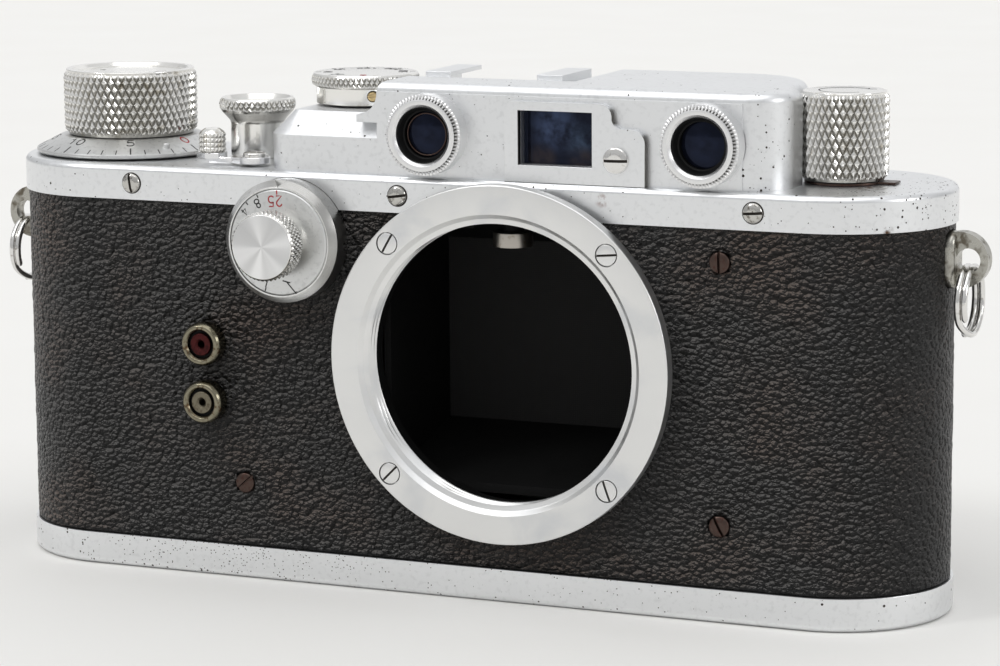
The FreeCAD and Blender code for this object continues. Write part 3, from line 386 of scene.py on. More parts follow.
def refined(node, material, bevel):
    """The CAD node's own shape with its facets joined and its edges rounded."""
    mesh = frame["nodes"][node].data.copy()
    shape = bmesh.new()
    shape.from_mesh(mesh)
    bmesh.ops.remove_doubles(shape, verts=shape.verts, dist=2e-6)
    bmesh.ops.dissolve_limit(shape, angle_limit=math.radians(0.5), verts=shape.verts, edges=shape.edges)
    shape.to_mesh(mesh)
    shape.free()
    thing = linked(node + "-finished", mesh)
    step = thing.modifiers.new("edges", "BEVEL")
    step.width = bevel * MM
    step.segments = 2
    step.limit_method = "ANGLE"
    step.angle_limit = math.radians(40)
    step.use_clamp_overlap = True
    thing.data = evaluated_mesh(thing)
    standing_for(node, thing, material)
    flatten = thing.modifiers.new("flat faces", "WEIGHTED_NORMAL")
    flatten.keep_sharp = True


def tube_mesh(path, radius, sides=14):
    """Vertices and faces of a round wire along a path of points, with domed ends."""
    points = [Vector(point) for point in path]
    vertices = []
    normal = Vector((1, 0, 0))
    rings = len(points)
    for index, point in enumerate(points):
        ahead = points[min(index + 1, rings - 1)] - points[max(index - 1, 0)]
        ahead.normalize()
        normal = (normal - ahead * normal.dot(ahead)).normalized()
        side = ahead.cross(normal)
        scale = 0.6 if index in (0, rings - 1) else 1
        for step in range(sides):
            angle = 2 * math.pi * step / sides
            vertices.append(point + (normal * math.cos(angle) + side * math.sin(angle)) * radius * scale)
    faces = []
    for ring in range(rings - 1):
        for step in range(sides):
            after = (step + 1) % sides
            low = ring * sides
            faces.append((low + step, low + after, low + sides + after, low + sides + step))
    faces.append(tuple(range(sides)))
    faces.append(tuple(range((rings - 1) * sides, rings * sides)))
    return [tuple(vertex) for vertex in vertices], faces


# ---------------------------------------------------------------- engraved marks

GLYPHS = {
    "0": [arc((0.3, 0.5), (0.3, 0.5), 90, 450)],
    "1": [[(0.1, 0.76), (0.34, 1.0), (0.34, 0.0)]],
    "2": [arc((0.3, 0.7), (0.28, 0.3), 165, -35) + [(0.02, 0.0), (0.6, 0.0)]],
    "3": [arc((0.28, 0.76), (0.25, 0.24), 150, -90), arc((0.28, 0.26), (0.31, 0.26), 90, -150)],
    "4": [[(0.46, 0.0), (0.46, 1.0), (0.0, 0.28), (0.64, 0.28)]],
    "5": [[(0.54, 1.0), (0.12, 1.0), (0.08, 0.56)] + arc((0.27, 0.33), (0.31, 0.33), 125, -145)],
    "6": [[(0.46, 1.0), (0.12, 0.52)] + arc((0.31, 0.3), (0.29, 0.3), 150, -210)],
    "8": [arc((0.3, 0.75), (0.23, 0.25), 90, 450), arc((0.3, 0.25), (0.3, 0.25), 90, 450)],
    "T": [[(0.0, 1.0), (0.64, 1.0)], [(0.32, 1.0), (0.32, 0.0)]],
    "B": [[(0.0, 0.0), (0.0, 1.0)], [(0.0, 1.0)] + arc((0.28, 0.75), (0.25, 0.25), 90, -90) + [(0.0, 0.5)],
          [(0.0, 0.5)] + arc((0.28, 0.25), (0.29, 0.25), 90, -90) + [(0.0, 0.0)]],
}
GLYPH_WIDTH = 0.62
GLYPH_SPACE = 0.24


def text_lines(text, size, radius, degrees, stretch=1.0):
    """Pen lines of a short text centred on a point of a dial, with its top towards the middle."""
    angle = math.radians(degrees)
    outward = Vector((math.cos(angle), math.sin(angle)))
    up = -outward
    right = Vector((up.y, -up.x))
    centre = outward * radius
    width = len(text) * GLYPH_WIDTH + (len(text) - 1) * GLYPH_SPACE
    lines = []
    for index, letter in enumerate(text):
        start = index * (GLYPH_WIDTH + GLYPH_SPACE) - width / 2
        for line in GLYPHS[letter]:
            lines.append([centre + (right * (start + x) * stretch + up * (y - 0.5)) * size for x, y in line])
    return lines


def tick(low, high, degrees):
    """Straight radial line on a dial."""
    angle = math.radians(degrees)
    outward = Vector((math.cos(angle), math.sin(angle)))
    return [outward * low, outward * high]


def ribbon_mesh(line, width, height_at):
    """A filled engraved line: a narrow strip that follows the surface height_at(radius)."""
    vertices = []
    for index, point in enumerate(line):
        ahead = line[min(index + 1, len(line) - 1)] - line[max(index - 1, 0)]
        side = Vector((-ahead.y, ahead.x)).normalized() * width / 2
        for offset in (side, -side):
            edge = point + offset
            surface = height_at(edge.length)
            vertices += [(edge.x, edge.y, surface + 0.012), (edge.x, edge.y, surface - 0.06)]
    faces = []
    for index in range(len(line) - 1):
        a = index * 4
        b = a + 4
        faces += [(a, a + 2, b + 2, b), (a + 1, b + 1, b + 3, a + 3), (a, b, b + 1, a + 1)]
        faces += [(a + 2, a + 3, b + 3, b + 2)]
    last = (len(line) - 1) * 4
    faces += [(0, 1, 3, 2), (last, last + 2, last + 3, last + 1)]
    return vertices, faces, Matrix.Identity(4)


def marks(name, body, material, place, lines, width, height_at):
    """All of a dial's lines in one paint."""
    ribbons = merged([ribbon_mesh(line, width, height_at) for line in lines])
    finished(make_object(name, *ribbons, place), body, material)


def flat_face(height):
    return lambda radius: height


# ---------------------------------------------------------------- materials

class Value:
    """A number or colour that varies over a surface, with plain arithmetic."""

    def __init__(self, graph, socket):
        self.graph = graph
        self.socket = socket

    def __add__(self, other):
        return self.graph.math("ADD", self, other)

    def __sub__(self, other):
        return self.graph.math("SUBTRACT", self, other)

    def __rsub__(self, other):
        return self.graph.math("SUBTRACT", other, self)

    def __mul__(self, other):
        return self.graph.math("MULTIPLY", self, other)


class Graph:
    """A material's nodes. Colours are (red, green, blue)."""

    def __init__(self, name):
        self.material = bpy.data.materials.new(name)
        self.material.use_nodes = True
        self.tree = self.material.node_tree
        self.shader = self.tree.nodes["Principled BSDF"]
        self.place = self.value("TexCoord", "Object")

    def feed(self, socket, value):
        if isinstance(value, Value):
            self.tree.links.new(value.socket, socket)
        elif socket.type == "RGBA":
            socket.default_value = (*value, 1)
        else:
            socket.default_value = value

    def value(self, kind, output, inputs=None, **settings):
        """One output of a new node."""
        node = self.tree.nodes.new("ShaderNode" + kind)
        for key, setting in settings.items():
            setattr(node, key, setting)
        for key, given in (inputs or {}).items():
            self.feed(node.inputs[key], given)
        return Value(self, node.outputs[output])

    def finish(self, specular=None, specular_tint=None, **inputs):
        """The material, with the shader's main inputs set."""
        for key, given in inputs.items():
            self.feed(self.shader.inputs[key.replace("_", " ")], given)
        if specular is not None:
            self.shader.inputs["Specular IOR Level"].default_value = specular
        if specular_tint is not None:
            self.shader.inputs["Specular Tint"].default_value = (*specular_tint, 1)
        return self.material

    def math(self, operation, first, second=0.0):
        return self.value("Math", 0, {0: first, 1: second}, operation=operation)

    def vector(self, operation, first, second=(0, 0, 0), output="Vector"):
        return self.value("VectorMath", output, {0: first, 1: second}, operation=operation)

    def stretched(self, x, y, z):
        return self.vector("MULTIPLY", self.place, (x, y, z))

    def noise(self, size, detail=3.0, vector=None, distortion=0.0):
        """Soft noise whose features are about size millimetres wide."""
        inputs = {"Vector": vector or self.place, "Scale": 1 / (size * MM), "Detail": detail,
                  "Distortion": distortion}
        return self.value("TexNoise", 0, inputs)

    def cells(self, size, output, vector=None):
        """Cell pattern with cells about size millimetres wide."""
        return self.value("TexVoronoi", output, {"Vector": vector or self.place, "Scale": 1 / (size * MM)})

    def between(self, value, low, high):
        """0 where value is at low, 1 where it is at high, smooth between."""
        inputs = {"Value": value, "From Min": low, "From Max": high}
        return self.value("MapRange", 0, inputs, interpolation_type="SMOOTHSTEP")

    def scale(self, value, low, high):
        """Maps 0 to 1 onto low to high."""
        return self.value("MapRange", 0, {"Value": value, "To Min": low, "To Max": high})

    def blend(self, share, first, second):
        return self.value("Mix", 2, {"Factor": share, 6: first, 7: second}, data_type="RGBA")

    def bump(self, height, depth, base=None):
        """Relief of depth millimetres."""
        inputs = {"Height": height, "Distance": depth * MM, "Strength": 1.0}
        if base is not None:
            inputs["Normal"] = base
        return self.value("Bump", 0, inputs)

    def near(self, centre, reach):
        """1 at a point of the piece, falling to 0 at reach millimetres from it."""
        gap = self.vector("DISTANCE", self.place, Vector(centre) * MM, "Value")
        return self.between(gap, reach * MM, reach * MM * 0.25)

    def turned_to(self, direction, normal=None):
        """How far the surface, or its relief, faces a direction."""
        normal = normal or self.value("NewGeometry", "Normal")
        return self.vector("DOT_PRODUCT", normal, direction, "Value")

    def off_axis(self):
        """Position measured from the piece's own axis."""
        return self.vector("MULTIPLY", self.place, (1, 1, 0))


def scaled(tone, factor):
    return [part * factor for part in tone]


def pit_mask(graph, patches, everywhere):
    """Small dark pits, crowded near the patches (centre, reach, share)."""
    chances = graph.cells(PIT_CELL, "Color")
    present_chance = graph.value("SeparateColor", 0, {0: chances})
    size_chance = graph.value("SeparateColor", 1, {0: chances})
    crowd = graph.between(graph.noise(9.0), 0.3, 0.7) * everywhere
    for centre, reach, share in patches:
        local = graph.near(centre, reach) * graph.between(graph.noise(4.0), 0.25, 0.75)
        crowd = graph.math("MAXIMUM", crowd, local * share)
    present = graph.math("LESS_THAN", present_chance, crowd)
    size = graph.scale(graph.math("POWER", size_chance, 2.8), 0.12, 0.42)
    return present * graph.math("LESS_THAN", graph.cells(PIT_CELL, "Distance"), size)


def metal(name, tint, roughness, grain=0.25, grain_depth=0.006, grime_and_shade=(0.12, 0.11, 0.09), grime_share=0.8,
          groove_start=0.7, pits=None, stains=(), patina=None, mottle=0.0, scratches=0.03, shaded_side=None,
          turned_lines=0.0, spun=0.0):
    """Worn metal: uneven sheen, fine grain, and the dirt, pits, stains and tool marks that are asked for. A
    shaded side gets painted shade where the surface faces a given direction; spun metal gets painted sheen
    in sectors round its axis.
    """
    graph = Graph(name)
    cloud = graph.noise(7.0, 4.0)
    colour = graph.blend(cloud, scaled(tint, 0.95), tint)
    rough = graph.scale(cloud, roughness * 0.85, roughness * 1.2)
    if patina:
        tone, size, share = patina
        tarnish = graph.noise(size, 5.0, distortion=0.4)
        tarnish = graph.between(tarnish, 0.62 - share * 0.3, 0.8 - share * 0.2)
        colour = graph.blend(tarnish, colour, tone)
        rough += tarnish * 0.14
    for centre, reach, tone in stains:
        blot = graph.near(centre, reach) * graph.between(graph.noise(1.1, 4.0), 0.42, 0.6)
        colour = graph.blend(blot, colour, tone)
        rough += blot * 0.3
    groove = graph.value("Attribute", "Fac", attribute_name="groove")
    packed = graph.between(groove, groove_start, 1.0) * grime_share
    colour = graph.blend(packed, colour, grime_and_shade)
    rough += packed * 0.25
    # Painted shade: the colour goes towards the dark grime tone where the surface faces the given direction.
    if shaded_side:
        direction, share = shaded_side
        side_shade = graph.between(graph.turned_to(direction), 0.0, 0.35) * share
        colour = graph.blend(side_shade, colour, grime_and_shade)
    if mottle:
        fleck = graph.between(graph.noise(0.7, 5.0), 0.5, 0.72) * mottle
        colour = graph.blend(fleck, colour, scaled(tint, 0.6))
    rough += graph.scale(graph.noise(2.2, 2.0, graph.stretched(0.12, 1.0, 1.0)), -scratches, scratches)
    normal = graph.bump(graph.noise(grain, 4.0), grain_depth)
    if turned_lines:
        radius = graph.vector("LENGTH", graph.off_axis(), output="Value")
        inputs = {"W": radius, "Scale": 1 / (RING_SPACING * MM), "Detail": 3.0}
        rings = graph.value("TexNoise", 0, inputs, noise_dimensions="1D")
        normal = graph.bump(rings, turned_lines, normal)
        rough += graph.scale(rings, -0.04, 0.04)
    shine = 1.0
    if pits:
        spots = pit_mask(graph, *pits)
        colour = graph.blend(spots, colour, PIT_BROWN)
        rough += spots * 0.5
        normal = graph.bump(1.0 - spots, 0.03, normal)
        shine = graph.scale(spots, 1.0, 0.2)
    if spun:
        # Painted sheen: some sectors round the axis are darker, standing in for the sheen of spun metal.
        sheen_sector = graph.noise(SHEEN_SECTOR_SIZE, 1.0, graph.vector("NORMALIZE", graph.off_axis()))
        colour = graph.blend(graph.between(sheen_sector, 0.36, 0.64), colour, scaled(tint, 0.72))
        graph.shader.inputs["Anisotropic"].default_value = spun
        graph.feed(graph.shader.inputs["Tangent"], graph.value("Tangent", 0, direction_type="RADIAL"))
    return graph.finish(Base_Color=colour, Metallic=shine, Roughness=rough, Normal=normal)


# Painted reflections in the finder windows: blue veils where light is reflected, and brown haze low in the
# view window.
GLASS_REFLECTIONS_AND_HAZE = (
    ((17.2, 64.4, 12.5), 4.2, (0.05, 0.07, 0.13)),
    ((20.5, 62.8, 12.5), 3.0, (0.04, 0.06, 0.095)),
    ((15.5, 60.0, 12.5), 2.5, (0.03, 0.022, 0.018)),
    ((21.0, 59.8, 12.5), 2.5, (0.03, 0.022, 0.018)),
    ((0.0, 0.0, 14.6), 3.5, (0.010, 0.013, 0.026)),
)
CHROME = (0.83, 0.84, 0.85)
PIT_BROWN = (0.035, 0.026, 0.02)
PIT_CELL = 0.45
RING_SPACING = 0.16
# Painted sheen sectors: directions from the axis are a metre long, so sectors this wide are a few to the
# turn.
SHEEN_SECTOR_SIZE = 900
BROWN = (0.11, 0.06, 0.035)
DOWN = (0, 0, -1)
RIGHT_AND_DOWN = (0.75, 0, -0.66)


def satin_chrome():
    return metal("satin_chrome", CHROME, 0.36)


def top_plate_chrome():
    patches = [((66, -6, 55), 22, 0.8), ((-50, -14, 54), 26, 0.12), ((20, -15, 54), 20, 0.15)]
    stains = [
        ((25, -15, 55.2), 1.3, (0.2, 0.07, 0.04)),
        ((58, -5, 57), 3, BROWN),
        ((62, -12, 52.4), 1.6, BROWN),
    ]
    return metal("top_plate_chrome", CHROME, 0.33, pits=(patches, 0.08), stains=stains, mottle=0.22)


def base_plate_chrome():
    patches = [((-31, -15.2, 5.2), 24, 2.2), ((-28, -15, 3.5), 38, 1.1), ((20, -15, 2), 30, 0.3)]
    return metal("base_plate_chrome", CHROME, 0.3, pits=(patches, 0.14), mottle=0.22)


def housing_chrome():
    patches = [((50, -10, 62), 13, 0.5), ((-5, -14, 60), 16, 0.1), ((-20, -12, 63), 10, 0.1)]
    stains = [((10.9, -14.4, 61.5), 1.1, BROWN), ((10.9, -14.4, 58.2), 0.8, BROWN)]
    return metal("housing_chrome", CHROME, 0.38, pits=(patches, 0.07), stains=stains, mottle=0.22)


def cover_chrome():
    # Painted shade on the edges that face right and down.
    return metal("cover_chrome", CHROME, 0.34, pits=((), 0.04), grime_and_shade=(0.1, 0.095, 0.085),
                 shaded_side=(RIGHT_AND_DOWN, 1.0), mottle=0.15)


def bezel_chrome():
    return metal("bezel_chrome", (0.82, 0.82, 0.82), 0.3, grime_and_shade=(0.07, 0.065, 0.055), grime_share=0.95,
                 groove_start=0.25)


def knurl_chrome():
    # Painted shade on the facets that face down, as well as grime in the grooves.
    return metal("knurl_chrome", (0.9, 0.89, 0.86), 0.17, grime_and_shade=(0.16, 0.15, 0.125), grime_share=0.65,
                 patina=((0.45, 0.4, 0.31), 2.5, 0.12), shaded_side=(DOWN, 0.72))


def turned_chrome():
    return metal("turned_chrome", (0.82, 0.82, 0.83), 0.2, turned_lines=0.0018)


def spun_chrome():
    return metal("spun_chrome", (0.86, 0.86, 0.86), 0.3, turned_lines=0.001, spun=0.75)


def dial_chrome():
    return metal("dial_chrome", (0.67, 0.675, 0.67), 0.36, turned_lines=0.0008, mottle=0.35,
                 patina=((0.4, 0.4, 0.4), 0.5, 0.05))


def rim_chrome():
    # Painted shade on the side of the bevel that faces right and up.
    return metal("rim_chrome", (0.76, 0.76, 0.75), 0.28, turned_lines=0.0018, mottle=0.45,
                 grime_and_shade=(0.17, 0.165, 0.15), shaded_side=((0.85, 0, 0.5), 0.6))


def ring_alloy():
    return metal("ring_alloy", (0.80, 0.80, 0.79), 0.34, turned_lines=0.003, grime_and_shade=(0.1, 0.09, 0.08),
                 grime_share=0.6, scratches=0.09, patina=((0.69, 0.70, 0.71), 9.0, 0.5))


def polished_steel():
    return metal("polished_steel", (0.77, 0.76, 0.74), 0.14, grain=0.4, grain_depth=0.003,
                 patina=((0.35, 0.32, 0.28), 0.7, 0.1), scratches=0.06)


def lug_nickel():
    patina = ((0.15, 0.13, 0.1), 1.3, 0.55)
    return metal("lug_nickel", (0.44, 0.43, 0.39), 0.27, patina=patina, scratches=0.08)


def socket_brass():
    return metal("socket_brass", (0.24, 0.22, 0.16), 0.2, patina=((0.1, 0.065, 0.035), 0.8, 0.45))


def aged_brass():
    return metal("aged_brass", (0.55, 0.42, 0.22), 0.3, patina=((0.2, 0.12, 0.06), 3.0, 0.4))


def brown_contact():
    return metal("brown_contact", (0.07, 0.018, 0.018), 0.42, patina=((0.03, 0.012, 0.012), 0.5, 0.5))


def grey_contact():
    return metal("grey_contact", (0.19, 0.17, 0.125), 0.4, patina=((0.09, 0.07, 0.05), 0.5, 0.4))


def rusty_steel():
    return metal("rusty_steel", (0.080, 0.056, 0.048), 0.3, grain=0.18, grain_depth=0.012,
                 patina=((0.070, 0.036, 0.029), 0.5, 0.45), scratches=0.1)


def roller_nickel():
    return metal("roller_nickel", (0.45, 0.42, 0.38), 0.3, patina=((0.3, 0.26, 0.2), 1.0, 0.2))


def skirt_screw_steel():
    return metal("skirt_screw_steel", (0.55, 0.54, 0.51), 0.13, patina=((0.12, 0.1, 0.08), 0.6, 0.3),
                 scratches=0.05)


def packed_dirt():
    """Near-black paint for the gap round a screw head and for its slot: painted shade, crumbly like dried
    grease.
    """
    graph = Graph("packed_dirt")
    crumbs = graph.noise(0.12, 3.0)
    colour = graph.blend(crumbs, (0.008, 0.007, 0.006), (0.035, 0.026, 0.018))
    return graph.finish(Base_Color=colour, Roughness=0.85, Normal=graph.bump(crumbs, 0.02))


def working_steel():
    return metal("working_steel", (0.5, 0.5, 0.49), 0.34, patina=((0.25, 0.22, 0.18), 5.0, 0.2))


def cast_alloy():
    return metal("cast_alloy", (0.55, 0.55, 0.55), 0.5, grain=0.5, grain_depth=0.03)


def black_paint():
    """Matt black paint with a little dust."""
    graph = Graph("black_paint")
    dust_and_slope_light = graph.between(graph.noise(0.5, 5.0), 0.55, 0.85)
    colour = graph.blend(dust_and_slope_light, (0.0022, 0.0022, 0.0022), (0.007, 0.0065, 0.006))
    rough = graph.scale(graph.noise(3.0), 0.55, 0.75)
    normal = graph.bump(graph.noise(0.12, 3.0), 0.012)
    return graph.finish(0.22, Base_Color=colour, Roughness=rough, Normal=normal)


def curtain_cloth():
    """Rubbered cloth: a fine weave, almost black."""
    graph = Graph("curtain_cloth")
    weave = {"Vector": graph.place, "Scale": 1100.0}
    across, along = (graph.value("TexWave", "Fac", weave, bands_direction=axis)
                     for axis in "XZ")
    weave = across * along
    colour = graph.blend(weave, (0.006, 0.006, 0.006), (0.014, 0.013, 0.012))
    return graph.finish(Base_Color=colour, Roughness=0.85, Normal=graph.bump(weave, 0.03))


def hard_rubber():
    """Moulded black covering: a leathery grain of small domes, with painted light on their upper slopes."""
    graph = Graph("hard_rubber")
    domes = graph.math("POWER", graph.cells(0.68, "Distance", graph.stretched(0.85, 0.85, 1.1)), 2.0)
    ripple = graph.noise(0.42, 1.5, graph.stretched(0.75, 0.75, 1.0), 0.6)
    swell = graph.noise(1.6, 1.0)
    normal = graph.bump(ripple * 0.8 - domes * 1.05 + swell * 0.12, 0.8)
    # Painted light: slopes of the grain that face up and a little to the front-left are made much paler, as
    # if lit.
    lit_slope = graph.between(graph.turned_to((-0.3, -0.1, 0.95), normal), 0.34, 0.85)
    brown = graph.between(graph.noise(14.0, 4.0), 0.42, 0.72)
    dark = graph.blend(brown, (0.0022, 0.0021, 0.0021), (0.0055, 0.0036, 0.0030))
    dust_and_slope_light = graph.blend(brown, (0.110, 0.106, 0.102), (0.150, 0.118, 0.100))
    rough = graph.scale(lit_slope, 0.42, 0.3)
    return graph.finish(0.3, Base_Color=graph.blend(lit_slope, dark, dust_and_slope_light), Roughness=rough, Normal=normal)


def coated_glass(name, tint, depth_tint, reflections_and_haze=()):
    """Old coated glass with faint smears, and veils (centre, reach, tone) of painted reflection and haze."""
    graph = Graph(name)
    smear = graph.between(graph.noise(1.8, 4.0, distortion=0.8), 0.4, 0.75)
    colour = graph.blend(smear, depth_tint, scaled(depth_tint, 2.4))
    for centre, reach, tone in reflections_and_haze:
        veil = graph.near(centre, reach) * graph.between(graph.noise(2.2, 4.0), 0.3, 0.65)
        colour = graph.blend(veil, colour, tone)
    rough = graph.scale(smear, 0.03, 0.16)
    ripple = graph.bump(graph.noise(6.0, 1.0), 0.01)
    return graph.finish(0.2, tint, Base_Color=colour, Roughness=rough, Normal=ripple)


def mark_paint(name, tone):
    """Paint pressed into engraved lines, thin in places."""
    graph = Graph(name)
    worn = graph.between(graph.noise(0.35, 3.0), 0.5, 0.9)
    colour = graph.blend(worn, tone, [min(1, part * 2.5 + 0.02) for part in tone])
    return graph.finish(Base_Color=colour, Roughness=0.6, Normal=graph.bump(graph.noise(0.1), 0.01))


def floor_paper():
    """Pale paper. Seen from below it is clear."""
    graph = Graph("floor_paper")
    colour = graph.blend(graph.noise(40.0, 3.0), (0.80, 0.79, 0.765), (0.83, 0.825, 0.805))
    paper = graph.finish(Base_Color=colour, Roughness=0.9, Normal=graph.bump(graph.noise(1.2, 4.0), 0.03))
    shaders = {0: graph.value("NewGeometry", "Backfacing"), 1: Value(graph, graph.shader.outputs[0]),
               2: graph.value("BsdfTransparent", 0)}
    output = graph.tree.nodes["Material Output"]
    graph.feed(output.inputs["Surface"], graph.value("MixShader", 0, shaders))
    return paper


# ---------------------------------------------------------------- covering

def covering_holes():
    """Holes in the unrolled covering: (along, height, half width, half height, squareness)."""
    arc_length = math.pi * COVERING_R
    holes = [(LENS[0], LENS[1], 22.35, 22.35, 2), (SLOW[0], SLOW[1], 7.95, 7.95, 2)]
    holes += [(SYNC_X, z, 2.75, 2.75, 2) for z in SYNC_HEIGHTS]
    holes += [(x, z, 1.52, 1.52, 2) for x, z, _ in BODY_SCREWS]
    right_end = END_X + arc_length / 2
    left_end = right_end + arc_length + 2 * END_X
    holes += [(along, 47.6, 2.5, 3.85, 3.5) for along in (right_end, left_end)]
    return holes


def covering_point(along):
    """Plan position and outward direction at a distance along the covering, from the front's middle."""
    arc_length = math.pi * COVERING_R
    along = (along + END_X) % (4 * END_X + 2 * arc_length) - END_X
    if along <= END_X:
        return (along, -COVERING_R), (0, -1)
    if along <= END_X + arc_length:
        angle = (along - END_X) / COVERING_R - math.pi / 2
        outward = (math.cos(angle), math.sin(angle))
        return (END_X + COVERING_R * outward[0], COVERING_R * outward[1]), outward
    if along <= 3 * END_X + arc_length:
        return (2 * END_X + arc_length - along, COVERING_R), (0, 1)
    angle = (along - 3 * END_X - arc_length) / COVERING_R + math.pi / 2
    outward = (math.cos(angle), math.sin(angle))
    return (-END_X + COVERING_R * outward[0], COVERING_R * outward[1]), outward


def make_covering(material):
    """The covering as one sheet with real holes and creases, laid round the body."""
    cell = 0.5
    perimeter = 4 * END_X + 2 * math.pi * COVERING_R
    columns = round(perimeter / cell)
    rows = round((COVERING_HIGH - COVERING_LOW) / cell)
    along, height = np.meshgrid(
        np.arange(columns) * perimeter / columns - END_X,
        np.linspace(COVERING_LOW, COVERING_HIGH, rows + 1))
    gone = np.zeros_like(along, bool)
    for middle, level, half_width, half_height, power in covering_holes():
        offset = (along - middle + perimeter / 2) % perimeter - perimeter / 2
        rise = height - level
        reach = (np.abs(offset / half_width) ** power + np.abs(rise / half_height) ** power) ** (1 / power)
        margin = 0.55 * cell / min(half_width, half_height)
        gone |= reach < 1 - margin
        edge = np.abs(reach - 1) <= margin
        along[edge] = (middle + offset / np.maximum(reach, 0.01))[edge]
        height[edge] = (level + rise / np.maximum(reach, 0.01))[edge]
    vertices = []
    for s, z in zip(along.ravel(), height.ravel()):
        (x, y), outward = covering_point(s)
        spot = Vector((x, y, z))
        swell = noise.noise(spot * 0.11) * 0.05
        crease = abs(noise.noise(Vector((x * 0.3, y * 0.3, z * 0.75)))) * 0.14
        pebble = noise.noise(spot * 0.85) * 0.03
        lift = swell + crease + pebble - 0.12
        vertices.append((x + outward[0] * lift, y + outward[1] * lift, z))
    faces = []
    lost = gone.ravel()
    for row in range(rows):
        for column in range(columns):
            right = (column + 1) % columns
            face = (row * columns + column, row * columns + right,
                    (row + 1) * columns + right, (row + 1) * columns + column)
            if not any(lost[index] for index in face):
                faces.append(face)
    thing = make_object("covering", vertices, faces)
    drop_loose(thing.data)
    standing_for("body_covering", thing, material)
    depth = thing.modifiers.new("thickness", "SOLIDIFY")
    depth.thickness = 0.45 * MM
    depth.offset = -1
    return thing


def drop_loose(mesh):
    """Takes out vertices that no face uses."""
    shape = bmesh.new()
    shape.from_mesh(mesh)
    bmesh.ops.delete(shape, geom=[v for v in shape.verts if not v.link_faces], context="VERTS")
    shape.to_mesh(mesh)
    shape.free()


# ---------------------------------------------------------------- screws

def screw_head(radius, height, slot_width, slot_depth, dome=0.15):
    """Slotted head standing on height 0."""
    corners = [(0, -0.4), (radius * 0.9, -0.4), (radius, -0.3), (radius, height - dome, dome * 1.5),
               (radius * 0.55, height, radius * 0.6), (0, height + dome * 0.1)]
    vertices, faces, _ = turned_mesh(corners, columns=SCREW_COLUMNS)
    head = make_object("screw", vertices, faces)
    half_width = slot_width / 2
    slot = box_mesh((-radius * 2, radius * 2), (-half_width, half_width), (height - slot_depth, height + 2))
    carved(head, [(*slot, upright(0))])
    points = np.array([v.co for v in head.data.vertices]) / MM
    polygons = [tuple(p.vertices) for p in head.data.polygons]
    bpy.data.objects.remove(head)
    return points, polygons


def screws(name, node, material, head, places):
    """A group of like screws."""
    standing_for(node, make_object(name, *merged([(*head, place) for place in places])), material)


def mount_screw_places():
    """Position on the lens ring, and slot angle, of each of its screws."""
    for angle, slot in MOUNT_SCREWS:
        turn = math.radians(angle)
        yield MOUNT_SCREW_CIRCLE_R * math.cos(turn), MOUNT_SCREW_CIRCLE_R * math.sin(turn), slot


def gap_ring(radius, height, width=0.13):
    """Narrow ring of painted shadow round a screw head, a hair above the plate."""
    inner = radius - 0.1
    outer = radius + width
    low = height - 0.1
    corners = [(inner, low), (outer, low), (outer, height), (inner, height)]
    return turned_mesh(corners, loop=True, columns=SCREW_COLUMNS)[:2]


def slot_floor(half, width, height):
    """Painted shade lying in a screw's slot up to a height."""
    return box_mesh((-half, half), (-width / 2, width / 2), (height - 0.2, height))


def make_screws():
    dark = rusty_steel()
    bright = polished_steel()
    alloy = ring_alloy()
    gap_shade = packed_dirt()
    places = [facing(x, z, BODY_FACE, slot) for x, z, slot in BODY_SCREWS]
    screws("body_screw_heads", "body_screws", dark, screw_head(1.42, 1.0, 0.36, 0.6, 0.2), places)
    places = [
        side(x, SKIRT_SCREW_Z, SKIRT_FACE, slot)
        for side in (facing, backing)
        for x, slot in SKIRT_SCREWS
    ]
    head = screw_head(1.35, 0.6, 0.36, 0.5, 0.25)
    screws("skirt_screw_heads", "top_plate_screws", skirt_screw_steel(), head, places)
    # Painted shadow: a near-black ring round each skirt screw head.
    screws("skirt_screw_gap_shadow", "top_plate_screws", gap_shade, gap_ring(1.35, 0.02), places)
    # Painted shade in the skirt screws' slots.
    screws("skirt_slot_shade", "top_plate_screws", gap_shade, slot_floor(1.28, 0.36, 0.22), places)
    places = [facing(LENS[0] + x, LENS[1] + y, MOUNT_FLOOR, slot) for x, y, slot in mount_screw_places()]
    screws("mount_screw_heads", "lens_mount_screws", alloy, screw_head(1.4, 0.93, 0.3, 0.5, 0.06), places)
    # Painted shade in the lens ring screws' slots.
    screws("mount_slot_shade", "lens_mount_screws", gap_shade, slot_floor(1.38, 0.3, 0.5), places)
    places = [facing(*VIEW_SCREW, HOUSING_FACE, 1)]
    head = screw_head(1.75, 0.7, 0.38, 0.45, 0.2)
    screws("view_cover_screw_head", "viewfinder_cover_screw", bright, head, places)
    # Painted shade in the finder cover screw's slot.
    screws("view_screw_slot_shade", "viewfinder_cover_screw", gap_shade, slot_floor(1.6, 0.38, 0.36), places)
    places = [upright(*LEVER_PIVOT, LEVER_TOP) @ spin(35)]
    screws("lever_screw_head", "lever_pivot_screw", bright, screw_head(1.6, 0.6, 0.4, 0.4, 0.2), places)
    places = [upright(x, y, SHOE_FLOOR) @ Matrix.Rotation(0.6 * x + y, 4, "Z") for x, y in SHOE_SCREWS]
    head = screw_head(1.25, 0.42, 0.3, 0.25, 0.05)
    screws("shoe_screw_heads", "accessory_shoe_screws", bright, head, places)


# ---------------------------------------------------------------- winding end

